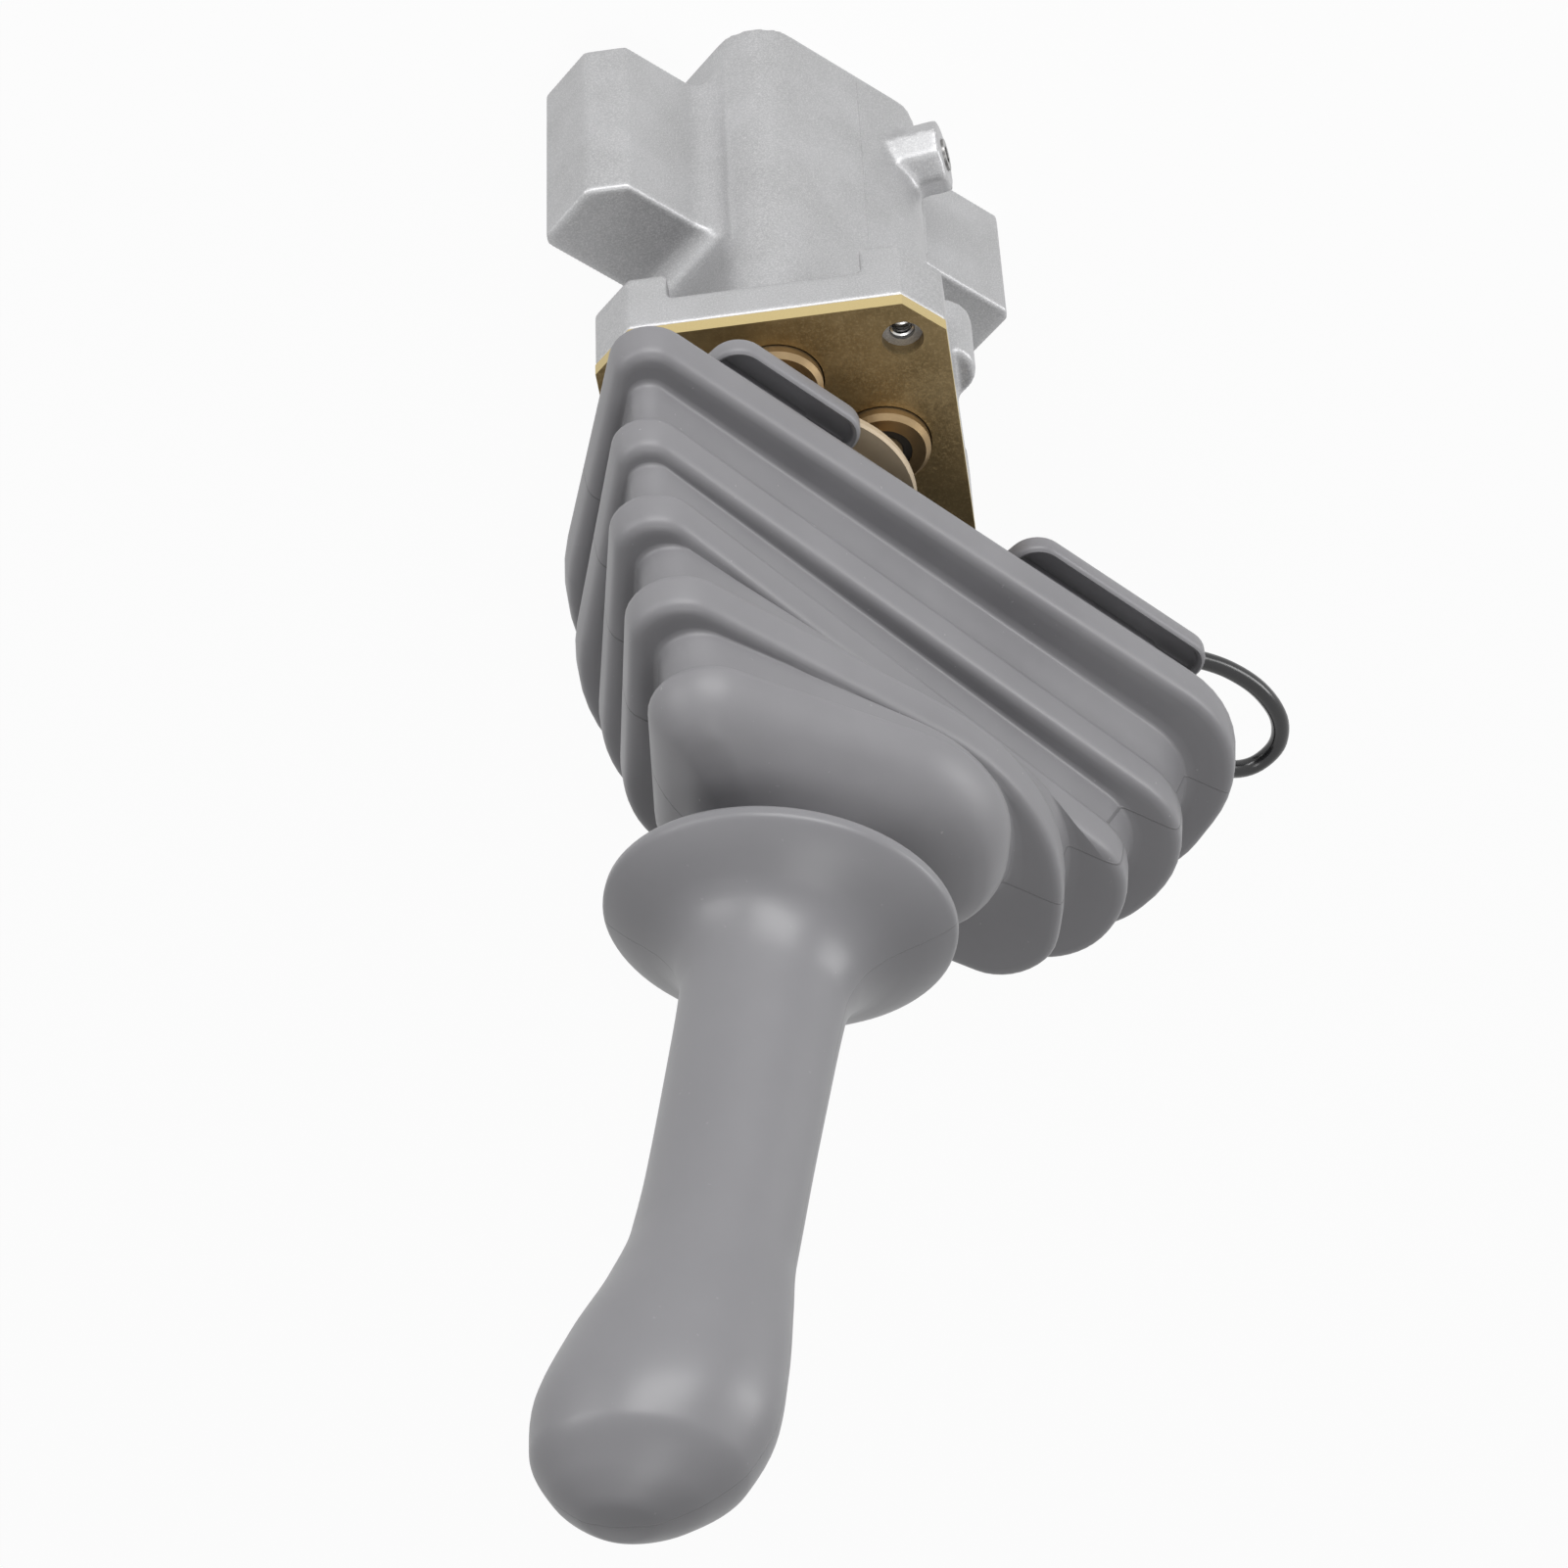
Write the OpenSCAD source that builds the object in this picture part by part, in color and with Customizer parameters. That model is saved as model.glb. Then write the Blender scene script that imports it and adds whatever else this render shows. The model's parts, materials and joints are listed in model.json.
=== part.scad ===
// Hydraulic pilot joystick: a die-cast pilot valve with four sprung spools,
// a universal joint with its swash disc, a leaning hand lever, a bellows boot
// and the lead of the horn button. Millimetres, +Z up along the valve, origin
// at the centre of the casting's flat base.

/* [Valve body] */
// Height of the valve from its base to the top of the plate
body_h = 118; // [110:1:135]
// Width across the square flange and its plate
flange_w = 80; // [78:1:96]
// Thickness of the cast flange
flange_t = 10; // [8:0.5:12]
// Length of the cut across each corner of the flange
corner_cut = 9; // [6:0.5:10]
// Thickness of the retaining plate
plate_t = 3.4; // [2.5:0.1:5]
// Spacing of the four threaded fixing holes
bolt_spacing = 60; // [58:1:64]
// Radius of the fixing thread's core
bolt_hole_r = 2.5; // [2:0.1:3.3]
// Radius of the clearance holes in the plate over the fixing threads
plate_hole_r = 4.8; // [4:0.1:5.4]
// Depth of the corner ears below the flange
ear_h = 8.5; // [6:0.5:12]

/* [Spools] */
// Distance of each spool from the centre line
spool_offset = 22; // [21.5:0.1:24]
// Outer radius of the four cast cylinders
cylinder_r = 13.6; // [13:0.1:15]
// Radius of the spring chambers
chamber_r = 9.9; // [9.5:0.1:10.4]
// Radius of the spools
spool_r = 4; // [3:0.1:5]
// Radius of the push rods
rod_r = 4.25; // [3.5:0.05:5]
// Height of the guide plugs above the plate
plug_rise = 3.3; // [2:0.1:4.5]
// Radius of the guide plugs' heads
plug_head_r = 10.8; // [10:0.1:11.2]
// Wire radius of the return springs
return_wire_r = 0.9; // [0.6:0.05:1.1]
// Wire radius of the metering springs
metering_wire_r = 0.65; // [0.4:0.05:0.8]
// Core radius of the six port threads
port_r = 5.9; // [5:0.1:7]
// Depth of the six port threads
port_depth = 14; // [10:0.5:16]

/* [Port blocks] */
// Distance from the centre line to the end face of each port block
block_reach = 61; // [58:1:66]
// Half width of the upper port block
high_block_half_w = 12.5; // [11:0.5:15]
// Underside of the upper port block above the base
high_block_z = 20; // [14:1:28]
// Height of the upper port block
high_block_h = 53; // [46:1:56]
// Half width of the lower port block
low_block_half_w = 15.5; // [13:0.5:17]
// Height of the lower port block
low_block_h = 38; // [30:1:46]

/* [Lever joint] */
// Height of the joint's centre above the plate
pivot_rise = 12.25; // [12:0.25:15]
// Outer radius of the joint's two forks
fork_r = 9.5; // [9:0.1:10]
// Radius of the cross pins
cross_pin_r = 2.5; // [2:0.1:3]
// Radius of the swash disc
disc_r = 28.7; // [27:0.1:31]
// Thickness of the swash disc's rim
disc_t = 4; // [3:0.25:5]
// Height of the swash disc's underside above the joint's centre
disc_lift = 2; // [1.5:0.1:3]
// Gap between the push rods and the disc with the lever at rest
rod_gap = 0.5; // [0.5:0.05:0.8]

/* [Lever and grip] */
// Radius of the lever
lever_r = 7; // [6:0.25:8]
// Height of the lever's bend above the plate
bend_rise = 107; // [100:1:112]
// Lean of the upper lever and the grip
lean = 10.3; // [6:0.1:14]
// Radius of the grip where the hand closes round it
grip_r = 16.8; // [15:0.1:19]
// Length of the grip from the skirt's rim to the tip
grip_len = 158; // [150:1:175]
// Half width of the skirt across the lean
skirt_half_w = 37.5; // [34:0.5:42]
// Half depth of the skirt
skirt_half_d = 32.5; // [30:0.5:38]
// Radius of the horn button's hole
button_hole_r = 4.25; // [3.5:0.05:5]

/* [Boot] */
// Wall of the rubber boot
boot_wall = 2.4; // [1.6:0.1:3]
// Depth of the bellows folds
fold_depth = 9.5; // [7:0.5:10.5]
// Height of the lowest fold above the plate
boot_rise = 30; // [29:1:36]
// Pitch of the folds
fold_pitch = 21.5; // [20:0.5:23]

/* [Lead] */
// Radius of the horn lead
lead_r = 2.2; // [1.5:0.1:2.4]

/* [Hidden] */

$fn = 64;
eps = 0.01;
running_gap = 0.05;
seat_gap = 0.02;
soft_gap = 0.3;

// Spool places, seen with the front towards -Y
FRONT = -90;
BACK = 90;
LEFT = 180;
RIGHT = 0;
SPOOLS = [FRONT, BACK, LEFT, RIGHT];

cast_top_z = body_h - plate_t;
flange_z = cast_top_z - flange_t;
plug_shoulder_t = 4;
plug_shoulder_r = plug_head_r + 1.7;
plug_body_len = 9;
o_ring_r = 1;
plug_bevel = 1.2;
plug_bottom_z = cast_top_z - plug_shoulder_t - plug_body_len;
chamber_depth = 78;
chamber_z = body_h - chamber_depth;
spool_top_depth = 62;
spool_top_z = body_h - spool_top_depth;
spool_bottom_z = port_depth + 3;
stem_bore_r = spool_r + 0.03;

pivot_z = body_h + pivot_rise;
disc_z = pivot_z + disc_lift;
hub_z = pivot_z + 10.5;
hub_t = 3.5;
fork_slot = 12;
bell_r = fork_r + 4;
bell_wall = 3;
disc_bevel_w = 4.2;
disc_bevel_h = 2;
bell_top_t = 3.5;
stud_r = 6;
nut_t = 7;
nut_z = hub_z + hub_t + bell_top_t;
stud_top_z = nut_z + nut_t + 9;
lever_z = nut_z + nut_t;
bend_z = body_h + bend_rise;

rod_top_z = disc_z - rod_gap;
rod_depth = 34;
rod_bottom_z = body_h - rod_depth;
seat_t = 4;
seat_r = chamber_r - 0.7;
spigot_r = 2.5;
seat_z = rod_bottom_z - seat_t;

// Distance along the leaning part of the lever, from the bend
skirt_s = 38;
nut_s = 36;
handle_nut_across = 22;
lever_end_s = 120;
button_s = 139;

// ---- small helpers -------------------------------------------------------

module at_spool(side) {
    rotate([0, 0, side]) translate([spool_offset, 0, 0]) children();
}

module at_lean(s) {
    translate([0, 0, bend_z]) rotate([0, lean, 0]) translate([0, 0, s]) children();
}

module hex(across, t) {
    cylinder(r = across / sqrt(3), h = t, $fn = 6);
}

module ring(r_out, r_in, t) {
    difference() {
        cylinder(r = r_out, h = t);
        translate([0, 0, -eps]) cylinder(r = r_in, h = t + 2 * eps);
    }
}

// A square with cut corners
module cut_square(w, cut) {
    h = w / 2;
    polygon([[h, -h + cut], [h, h - cut], [h - cut, h], [-h + cut, h],
        [-h, h - cut], [-h, -h + cut], [-h + cut, -h], [h - cut, -h]]);
}

function unit(v) = v / norm(v);
function lerp(a, b, t) = a * (1 - t) + b * t;

// A closed polyhedron through rings of equal count, each ring a list of points
module skin(rings, closed = false) {
    n = len(rings[0]);
    m = len(rings);
    sides = [for (i = [0:(closed ? m - 1 : m - 2)]) for (j = [0:n - 1])
        let (a = i * n + j, b = i * n + (j + 1) % n,
             c = ((i + 1) % m) * n + (j + 1) % n, d = ((i + 1) % m) * n + j)
        each [[a, c, b], [a, d, c]]];
    caps = closed ? [] : [[for (j = [0:n - 1]) j], [for (j = [n - 1:-1:0]) (m - 1) * n + j]];
    polyhedron([for (r = rings) each r], concat(sides, caps));
}

// A round tube along points, with a side direction kept level where it can be
function tube_ring(p, dir, r, sides) =
    let (t = unit(dir), flat = abs(t[2]) > 0.98 ? [1, 0, 0] : [0, 0, 1],
         u = unit(cross(t, flat)), v = cross(u, t))
    [for (k = [0:sides - 1]) p + r * (cos(k * 360 / sides) * u + sin(k * 360 / sides) * v)];

function helix(r, z0, z1, turns, steps) =
    [for (i = [0:turns * steps]) let (a = 360 * i / steps)
        [r * cos(a), r * sin(a), lerp(z0, z1, i / (turns * steps))]];

module spring(coil_r, wire_r, z0, z1, turns, steps = 10, sides = 6) {
    path = helix(coil_r, z0 + wire_r, z1 - wire_r, turns, steps);
    rings = [for (p = path)
        let (out = unit([p[0], p[1], 0]))
        [for (k = [0:sides - 1])
            p + wire_r * (cos(k * 360 / sides) * out + sin(k * 360 / sides) * [0, 0, 1])]];
    skin(rings);
}

// ---- valve body ----------------------------------------------------------

// Round the four cylinders and the flat walls between them
module body_outline(r) {
    polygon([for (a = [0:90:270]) for (s = [-45, 45])
        spool_offset * [cos(a), sin(a)] + r * [cos(a + s), sin(a + s)]]);
    for (a = [0:90:270]) translate(spool_offset * [cos(a), sin(a)]) circle(r = r);
}

// A port block's plan: the outer end, with its corners cut, and the web behind it
module block_plan(half_w, cut, web = 0) {
    inner = spool_offset + cylinder_r + 3;
    polygon([[inner, -half_w], [block_reach - cut, -half_w], [block_reach, -half_w + cut],
        [block_reach, half_w - cut], [block_reach - cut, half_w], [inner, half_w],
        [inner - 4, half_w - web], [10, half_w - web], [10, -half_w + web], [inner - 4, -half_w + web]]);
}

module corner_ears() {
    ear = flange_w / 2 - 26.5;
    intersection() {
        translate([0, 0, flange_z - ear_h]) linear_extrude(ear_h + eps)
            cut_square(flange_w, corner_cut);
        for (x = [-1, 1]) for (y = [-1, 1])
            translate([x * (flange_w / 2 - ear / 2), y * (flange_w / 2 - ear / 2), flange_z - ear_h])
                translate([-ear / 2, -ear / 2, 0]) cube([ear, ear, ear_h + eps]);
    }
}

// Cross section of the side gusset that ties the upper block to the flange
module block_gusset(half_w) {
    top = high_block_z + high_block_h;
    rotate([90, 0, 0]) translate([0, 0, -half_w]) linear_extrude(2 * half_w)
        polygon([[20, top - 8], [block_reach - 16, top - 8], [block_reach - 16, top],
            [bolt_spacing / sqrt(2), flange_z - ear_h + 1], [20, flange_z - ear_h + 1]]);
}

module valve_casting() {
    color("silver") difference() {
        union() {
            linear_extrude(flange_z + eps) body_outline(cylinder_r);
            translate([0, 0, flange_z]) linear_extrude(flange_t) cut_square(flange_w, corner_cut);
            corner_ears();
            rotate([0, 0, -45]) {
                translate([0, 0, high_block_z]) linear_extrude(high_block_h)
                    block_plan(high_block_half_w, 5.5);
                block_gusset(5);
            }
            rotate([0, 0, 135]) linear_extrude(low_block_h) block_plan(low_block_half_w, 6, 4);
            // Boss of the cross drilling and the lug under the flange
            rotate([0, 0, 188]) translate([0, 0, 21]) rotate([0, 90, 0])
                cylinder(r = 8, h = spool_offset + cylinder_r + 9);
            translate([-flange_w / 2 - 5, -9, flange_z - 14]) cube([20, 18, 15]);
            // Cast pip of the mould's ejector
            translate([9, -spool_offset - 8, 18]) sphere(r = 5);
        }
        for (a = SPOOLS) at_spool(a) {
            translate([0, 0, cast_top_z - plug_shoulder_t - seat_gap])
                cylinder(r = plug_shoulder_r + running_gap, h = plug_shoulder_t + 1);
            translate([0, 0, chamber_z]) cylinder(r = chamber_r, h = cast_top_z - chamber_z);
            translate([0, 0, port_depth - 1]) cylinder(r = stem_bore_r, h = chamber_z);
            translate([0, 0, -1]) cylinder(r = port_r, h = port_depth + 1);
        }
        for (x = [-1, 1]) for (y = [-1, 1])
            translate([x * bolt_spacing / 2, y * bolt_spacing / 2, flange_z - ear_h - 1])
                cylinder(r = bolt_hole_r, h = flange_t + ear_h + 2);
        // Supply and return ports, in the port blocks' undersides
        rotate([0, 0, -45]) translate([block_reach - 12, 0, high_block_z - 1])
            cylinder(r = port_r, h = port_depth + 1);
        rotate([0, 0, 135]) translate([block_reach - 12, 0, -1])
            cylinder(r = port_r, h = port_depth + 1);
        // Thread for the joint's base
        translate([0, 0, cast_top_z - 22]) cylinder(r = stud_r + running_gap, h = 23);
        // Cross drilling, closed by its plug
        rotate([0, 0, 188]) translate([0, 0, 21]) rotate([0, 90, 0])
            translate([0, 0, spool_offset + cylinder_r + 2]) cylinder(r = 4, h = 10);
    }
}

module gallery_plugs() {
    color("dimgray") rotate([0, 0, 188]) translate([0, 0, 21]) rotate([0, 90, 0])
        translate([0, 0, spool_offset + cylinder_r + 2]) difference() {
            cylinder(r = 4 - seat_gap, h = 6);
            translate([0, 0, 3]) hex(4, 4);
        }
}

module retaining_plate() {
    color("goldenrod") translate([0, 0, cast_top_z]) difference() {
        linear_extrude(plate_t) cut_square(flange_w, corner_cut);
        for (a = SPOOLS) at_spool(a) translate([0, 0, -1])
            cylinder(r = plug_head_r + 0.35, h = plate_t + 2);
        for (x = [-1, 1]) for (y = [-1, 1])
            translate([x * bolt_spacing / 2, y * bolt_spacing / 2, -1])
                cylinder(r = plate_hole_r, h = plate_t + 2);
        translate([0, 0, -1]) cylinder(r = stud_r + 0.3, h = plate_t + 2);
    }
}

// One guide plug as a turned profile: head, shoulder and body with its ring groove
module guide_plug() {
    seal_r = rod_r + 2.2;
    top = body_h + plug_rise;
    bore = rod_r + running_gap;
    body_r = chamber_r - running_gap;
    groove_r = chamber_r - 2 * o_ring_r - 3 * seat_gap;
    shoulder_z = cast_top_z - plug_shoulder_t;
    rotate_extrude() polygon([[bore, plug_bottom_z], [body_r, plug_bottom_z],
        [body_r, shoulder_z - 6], [groove_r, shoulder_z - 6], [groove_r, shoulder_z - 3.6],
        [body_r, shoulder_z - 3.6], [body_r, shoulder_z], [plug_shoulder_r, shoulder_z],
        [plug_shoulder_r, cast_top_z - seat_gap], [plug_head_r, cast_top_z - seat_gap],
        [plug_head_r, top - plug_bevel], [plug_head_r - plug_bevel, top], [seal_r, top], [seal_r, top - 3],
        [bore, top - 3]]);
}

module guide_plugs() {
    color("goldenrod") for (a = SPOOLS) at_spool(a) guide_plug();
}

module plug_o_rings() {
    color("black") for (a = SPOOLS) at_spool(a)
        translate([0, 0, cast_top_z - plug_shoulder_t - 4.8]) rotate_extrude()
            translate([chamber_r - o_ring_r - seat_gap, 0]) circle(r = o_ring_r, $fn = 16);
}

module rod_seals() {
    color("black") for (a = SPOOLS) at_spool(a)
        translate([0, 0, body_h + plug_rise - 3 + seat_gap])
            ring(rod_r + 2.2 - seat_gap, rod_r + running_gap, 2.4);
}

// ---- spool sets ----------------------------------------------------------

module push_rod(side) {
    color("gainsboro") at_spool(side) {
        translate([0, 0, rod_top_z - rod_r]) sphere(r = rod_r, $fn = 48);
        translate([0, 0, rod_bottom_z]) cylinder(r = rod_r, h = rod_top_z - rod_r - rod_bottom_z);
        translate([0, 0, rod_bottom_z - 3]) cylinder(r = spigot_r, h = 3 + eps);
    }
}

module spring_seat(side) {
    color("gray") at_spool(side) translate([0, 0, seat_z]) difference() {
        union() {
            cylinder(r = seat_r, h = seat_t - seat_gap);
            translate([0, 0, -5]) cylinder(r = 3, h = 5 + eps);
        }
        translate([0, 0, seat_t - 3 - seat_gap - 0.1]) cylinder(r = spigot_r + seat_gap, h = 4);
    }
}

module spool(side) {
    land = stem_bore_r - 0.02;
    neck = land - 1;
    color("silver") at_spool(side) rotate_extrude() polygon([[0, spool_bottom_z],
        [land, spool_bottom_z], [land, chamber_z - 14], [neck, chamber_z - 14],
        [neck, chamber_z - 8], [land, chamber_z - 8], [land, spool_top_z - 4],
        [land + 2, spool_top_z - 4], [land + 2, spool_top_z - 2], [2.8, spool_top_z - 2],
        [2.8, spool_top_z], [0, spool_top_z]]);
}

module return_spring(side) {
    coil_r = seat_r - return_wire_r - 0.4;
    color("dimgray") at_spool(side)
        spring(coil_r, return_wire_r, chamber_z + 0.1, seat_z - 0.1, 6);
}

module metering_spring(side) {
    color("dimgray") at_spool(side)
        spring(3 + metering_wire_r + 0.35, metering_wire_r, spool_top_z - 1.9, seat_z - 0.1, 5);
}

// ---- universal joint, disc and lever -------------------------------------

// One fork's two ears, across the X axis, rounded about the pin
module fork_ears(reach) {
    ear_w = 8.4;
    intersection() {
        union() {
            rotate([0, 90, 0]) cylinder(r = 4.8, h = 2 * fork_r, center = true);
            translate([-fork_r, -ear_w / 2, reach < 0 ? reach : 0])
                cube([2 * fork_r, ear_w, abs(reach)]);
        }
        difference() {
            cylinder(r = fork_r, h = 6 * fork_r, center = true);
            cube([fork_slot, 4 * fork_r, 8 * fork_r], center = true);
        }
    }
}

module joint_base() {
    collar = 2.5;
    color("gray") difference() {
        union() {
            translate([0, 0, body_h]) cylinder(r = fork_r, h = collar);
            translate([0, 0, cast_top_z - 20]) cylinder(r = stud_r, h = 20 + plate_t + eps);
            translate([0, 0, pivot_z]) fork_ears(-(pivot_rise - collar + eps));
        }
        translate([0, 0, pivot_z]) rotate([0, 90, 0])
            cylinder(r = cross_pin_r + running_gap, h = 40, center = true);
    }
}

module joint_cross() {
    color("silver") translate([0, 0, pivot_z]) {
        rotate([0, 90, 0]) cylinder(r = cross_pin_r, h = 2 * fork_r - 0.6, center = true);
        rotate([90, 0, 0]) cylinder(r = cross_pin_r, h = 2 * fork_r - 0.6, center = true);
        sphere(r = 4.6, $fn = 48);
    }
}

module joint_yoke() {
    color("gray") difference() {
        union() {
            translate([0, 0, hub_z]) cylinder(r = fork_r, h = hub_t);
            translate([0, 0, hub_z]) cylinder(r = stud_r, h = stud_top_z - hub_z);
            translate([0, 0, pivot_z]) rotate([0, 0, 90]) fork_ears(hub_z - pivot_z + eps);
        }
        translate([0, 0, pivot_z]) rotate([90, 0, 0])
            cylinder(r = cross_pin_r + running_gap, h = 40, center = true);
    }
}

// The bell-shaped disc that the push rods ride under
module swash_disc() {
    top = nut_z;
    out = bell_r + bell_wall;
    color("goldenrod") rotate_extrude($fn = 96) polygon([[bell_r, disc_z], [disc_r - disc_bevel_w, disc_z],
        [disc_r, disc_z + disc_bevel_h], [disc_r, disc_z + disc_t - 0.6], [disc_r - 0.6, disc_z + disc_t],
        [out + 2, disc_z + disc_t], [out, disc_z + disc_t + 2], [out, top - 3], [out - 3, top],
        [stud_r + running_gap, top], [stud_r + running_gap, top - bell_top_t + seat_gap],
        [bell_r, top - bell_top_t + seat_gap]]);
}

module disc_lock_nut() {
    color("silver") translate([0, 0, nut_z + seat_gap]) difference() {
        hex(19, nut_t - 2 * seat_gap);
        translate([0, 0, -1]) cylinder(r = stud_r + seat_gap, h = nut_t + 2);
    }
}

// The lever: a tube with a bend, its lower socket on the joint's stud and the
// lead's outlet in its side
outlet_rise = 76;
outlet_z = body_h + outlet_rise;
bore_r = 3.4;
knuckle_r = lever_r + 0.8;
module lever_rod() {
    color("dimgray") difference() {
        union() {
            translate([0, 0, lever_z]) cylinder(r = lever_r, h = bend_z - lever_z);
            translate([0, 0, bend_z]) sphere(r = knuckle_r, $fn = 48);
            at_lean(0) cylinder(r = lever_r, h = lever_end_s);
        }
        translate([0, 0, lever_z - 1]) cylinder(r = stud_r + seat_gap, h = 11);
        translate([0, 0, outlet_z - 8]) cylinder(r = bore_r, h = bend_z - outlet_z + 8);
        translate([0, 0, bend_z]) sphere(r = bore_r + 0.5, $fn = 48);
        at_lean(0) cylinder(r = bore_r, h = lever_end_s + 1);
        translate([0, 0, outlet_z]) rotate([0, 0, 140]) rotate([0, 90, 0])
            cylinder(r = lead_r + 0.8, h = lever_r + 1);
    }
}

module handle_lock_nut() {
    color("silver") at_lean(nut_s) difference() {
        hex(handle_nut_across, 8);
        translate([0, 0, -1]) cylinder(r = lever_r + seat_gap, h = 10);
    }
}

// ---- grip ----------------------------------------------------------------

// Sections of the grip: distance along it as a share of its length, offset
// towards the lean, half width and half depth
grip_sections = [
    [0.000, 0, skirt_half_w, skirt_half_d],
    [0.022, 0, skirt_half_w, skirt_half_d],
    [0.055, 0, skirt_half_w - 6, skirt_half_d - 5],
    [0.085, 0, skirt_half_w - 13, skirt_half_d - 11],
    [0.120, 0, grip_r + 3, grip_r + 2],
    [0.170, 0, grip_r + 0.6, grip_r + 0.2],
    [0.300, 0, grip_r, grip_r - 0.6],
    [0.480, 0, grip_r - 0.4, grip_r - 0.8],
    [0.580, 0.3, grip_r - 0.2, grip_r - 0.4],
    [0.660, 1.2, grip_r + 1.8, grip_r + 0.6],
    [0.750, 3.2, grip_r + 5.0, grip_r + 2.2],
    [0.840, 5.0, grip_r + 6.8, grip_r + 3.0],
    [0.910, 6.2, grip_r + 4.6, grip_r + 1.2],
    [0.960, 7.2, grip_r - 1.4, grip_r - 4.0],
    [0.990, 8.0, grip_r - 8.4, grip_r - 9.6],
    [1.000, 8.2, 3, 2.5]];

module grip_shell() {
    steps = 36;
    skin([for (s = grip_sections) [for (k = [0:steps - 1])
        [s[1] + s[2] * cos(k * 360 / steps), s[3] * sin(k * 360 / steps), s[0] * grip_len]]]);
}

module grip() {
    color("dimgray") at_lean(skirt_s) difference() {
        grip_shell();
        // Hollow under the skirt, over the lock nut
        translate([0, 0, -eps]) cylinder(r1 = 24, r2 = 15, h = 8);
        translate([0, 0, -1]) cylinder(r = lever_r + 0.15, h = lever_end_s - skirt_s + 1.2);
        // Switch pocket and button hole
        translate([0, 0, button_s - skirt_s]) rotate([0, 90, 0]) {
            translate([0, 0, 6]) cylinder(r = button_hole_r, h = 40);
            translate([0, 0, -6]) cylinder(r = 6.3, h = 14);
        }
        translate([0, 0, lever_end_s - skirt_s]) cylinder(r = bore_r, h = 14);
    }
}

module horn_switch() {
    color("black") at_lean(button_s) rotate([0, 90, 0]) difference() {
        translate([0, 0, -5.9]) cylinder(r = 6, h = 11);
        translate([0, 0, 1]) cylinder(r = 2.2, h = 6);
    }
}

module horn_button() {
    color("black") at_lean(button_s) rotate([0, 90, 0]) {
        translate([0, 0, 8.3]) cylinder(r = button_hole_r - 0.1, h = 8);
        translate([0, 0, 3.2]) cylinder(r = 2, h = 5.2);
    }
}

// ---- boot ----------------------------------------------------------------

// Corners of each fold's rim, level by level: near left, near right, far
// right and far left, with the corner radii
fold_corners = [
    [[27, -77], [-102, 75], [-71, 121], [64, 30]],
    [[27, -69], [-91, 72], [-58, 108], [59, 28]],
    [[30, -67], [-80, 52], [-50, 98], [49, 20]],
    [[28, -61], [-78, 40], [-46, 76], [43, 14]],
    [[22, -44], [-46, 8], [-34, 42], [34, 10]]];
fold_radii = [[10, 36, 34, 56], [8, 30, 30, 50], [9, 34, 28, 32], [10, 34, 22, 28],
    [10, 24, 20, 22]];

function corners_at(t) = let (i = min(floor(t), 3)) lerp(fold_corners[i], fold_corners[i + 1], t - i);
function radii_at(t) = let (i = min(floor(t), 3)) lerp(fold_radii[i], fold_radii[i + 1], t - i);

// A rounded quadrilateral pulled in by an inset, six points to a corner
function rim(t, inset, z) =
    let (c = corners_at(t), r = radii_at(t), arc = 6)
    [for (i = [0:3])
        let (p = c[i], a = unit(c[(i + 3) % 4] - p), b = unit(c[(i + 1) % 4] - p),
             half = acos(a * b) / 2, mid = unit(a + b),
             rr = max(r[i] - inset, 2.5),
             centre = p + mid * ((rr + inset) / sin(half)),
             out0 = [a[1], -a[0]], s = cross([a[0], a[1], 0], [b[0], b[1], 0])[2] > 0 ? 1 : -1,
             n0 = s * out0, start = atan2(n0[1], n0[0]),
             sweep = -s * (180 - 2 * half))
        for (k = [0:arc - 1])
            let (g = start + sweep * k / (arc - 1))
            concat(centre + rr * [cos(g), sin(g)], [z])];

// Rings of one bellows fold from its rim to the valley above it, with the
// inner surface further in and higher
function fold_rings(i, wall) =
    let (z = body_h + boot_rise + i * fold_pitch, deep = fold_depth + wall,
         under = wall > 0 ? 0.8 * wall : 0, over = wall > 0 ? -0.7 * wall : 0)
    [rim(i, wall, z + under), rim(i, wall, z + 5 + over),
     rim(i + 0.4, deep, z + 9 + over), rim(i + 0.8, deep, z + 17.5 + under)];

dome_z = body_h + boot_rise + 4 * fold_pitch;
// The neck stops under the lowest corner of the grip's lock nut
neck_top_z = bend_z + nut_s * cos(lean) - handle_nut_across / sqrt(3) * sin(lean) - 2 * soft_gap;

// A circle about the leaning lever whose points face the way the dome's corners do
function neck_ring(r, z) =
    let (c = corners_at(4), arc = 6, x = (z - bend_z) * tan(lean))
    [for (i = [0:3])
        let (a = unit(c[(i + 3) % 4] - c[i]), b = unit(c[(i + 1) % 4] - c[i]),
             half = acos(a * b) / 2, s = cross([a[0], a[1], 0], [b[0], b[1], 0])[2] > 0 ? 1 : -1,
             start = atan2(-s * a[0], s * a[1]), sweep = -s * (180 - 2 * half))
        for (k = [0:arc - 1])
            let (g = start + sweep * (k + 0.5) / arc) [x + r * cos(g), r * sin(g), z]];
function dome_rings(wall) = [
    rim(4, wall, dome_z + 0.8 * wall),
    rim(4, 1 + wall, dome_z + 6),
    rim(4, 6 + wall, dome_z + 13 - wall),
    neck_ring(17 - wall, dome_z + 19 - wall),
    neck_ring(lever_r + (wall > 0 ? soft_gap : soft_gap + boot_wall), dome_z + 21 - wall),
    neck_ring(lever_r + (wall > 0 ? soft_gap : soft_gap + boot_wall), neck_top_z)];

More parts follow.
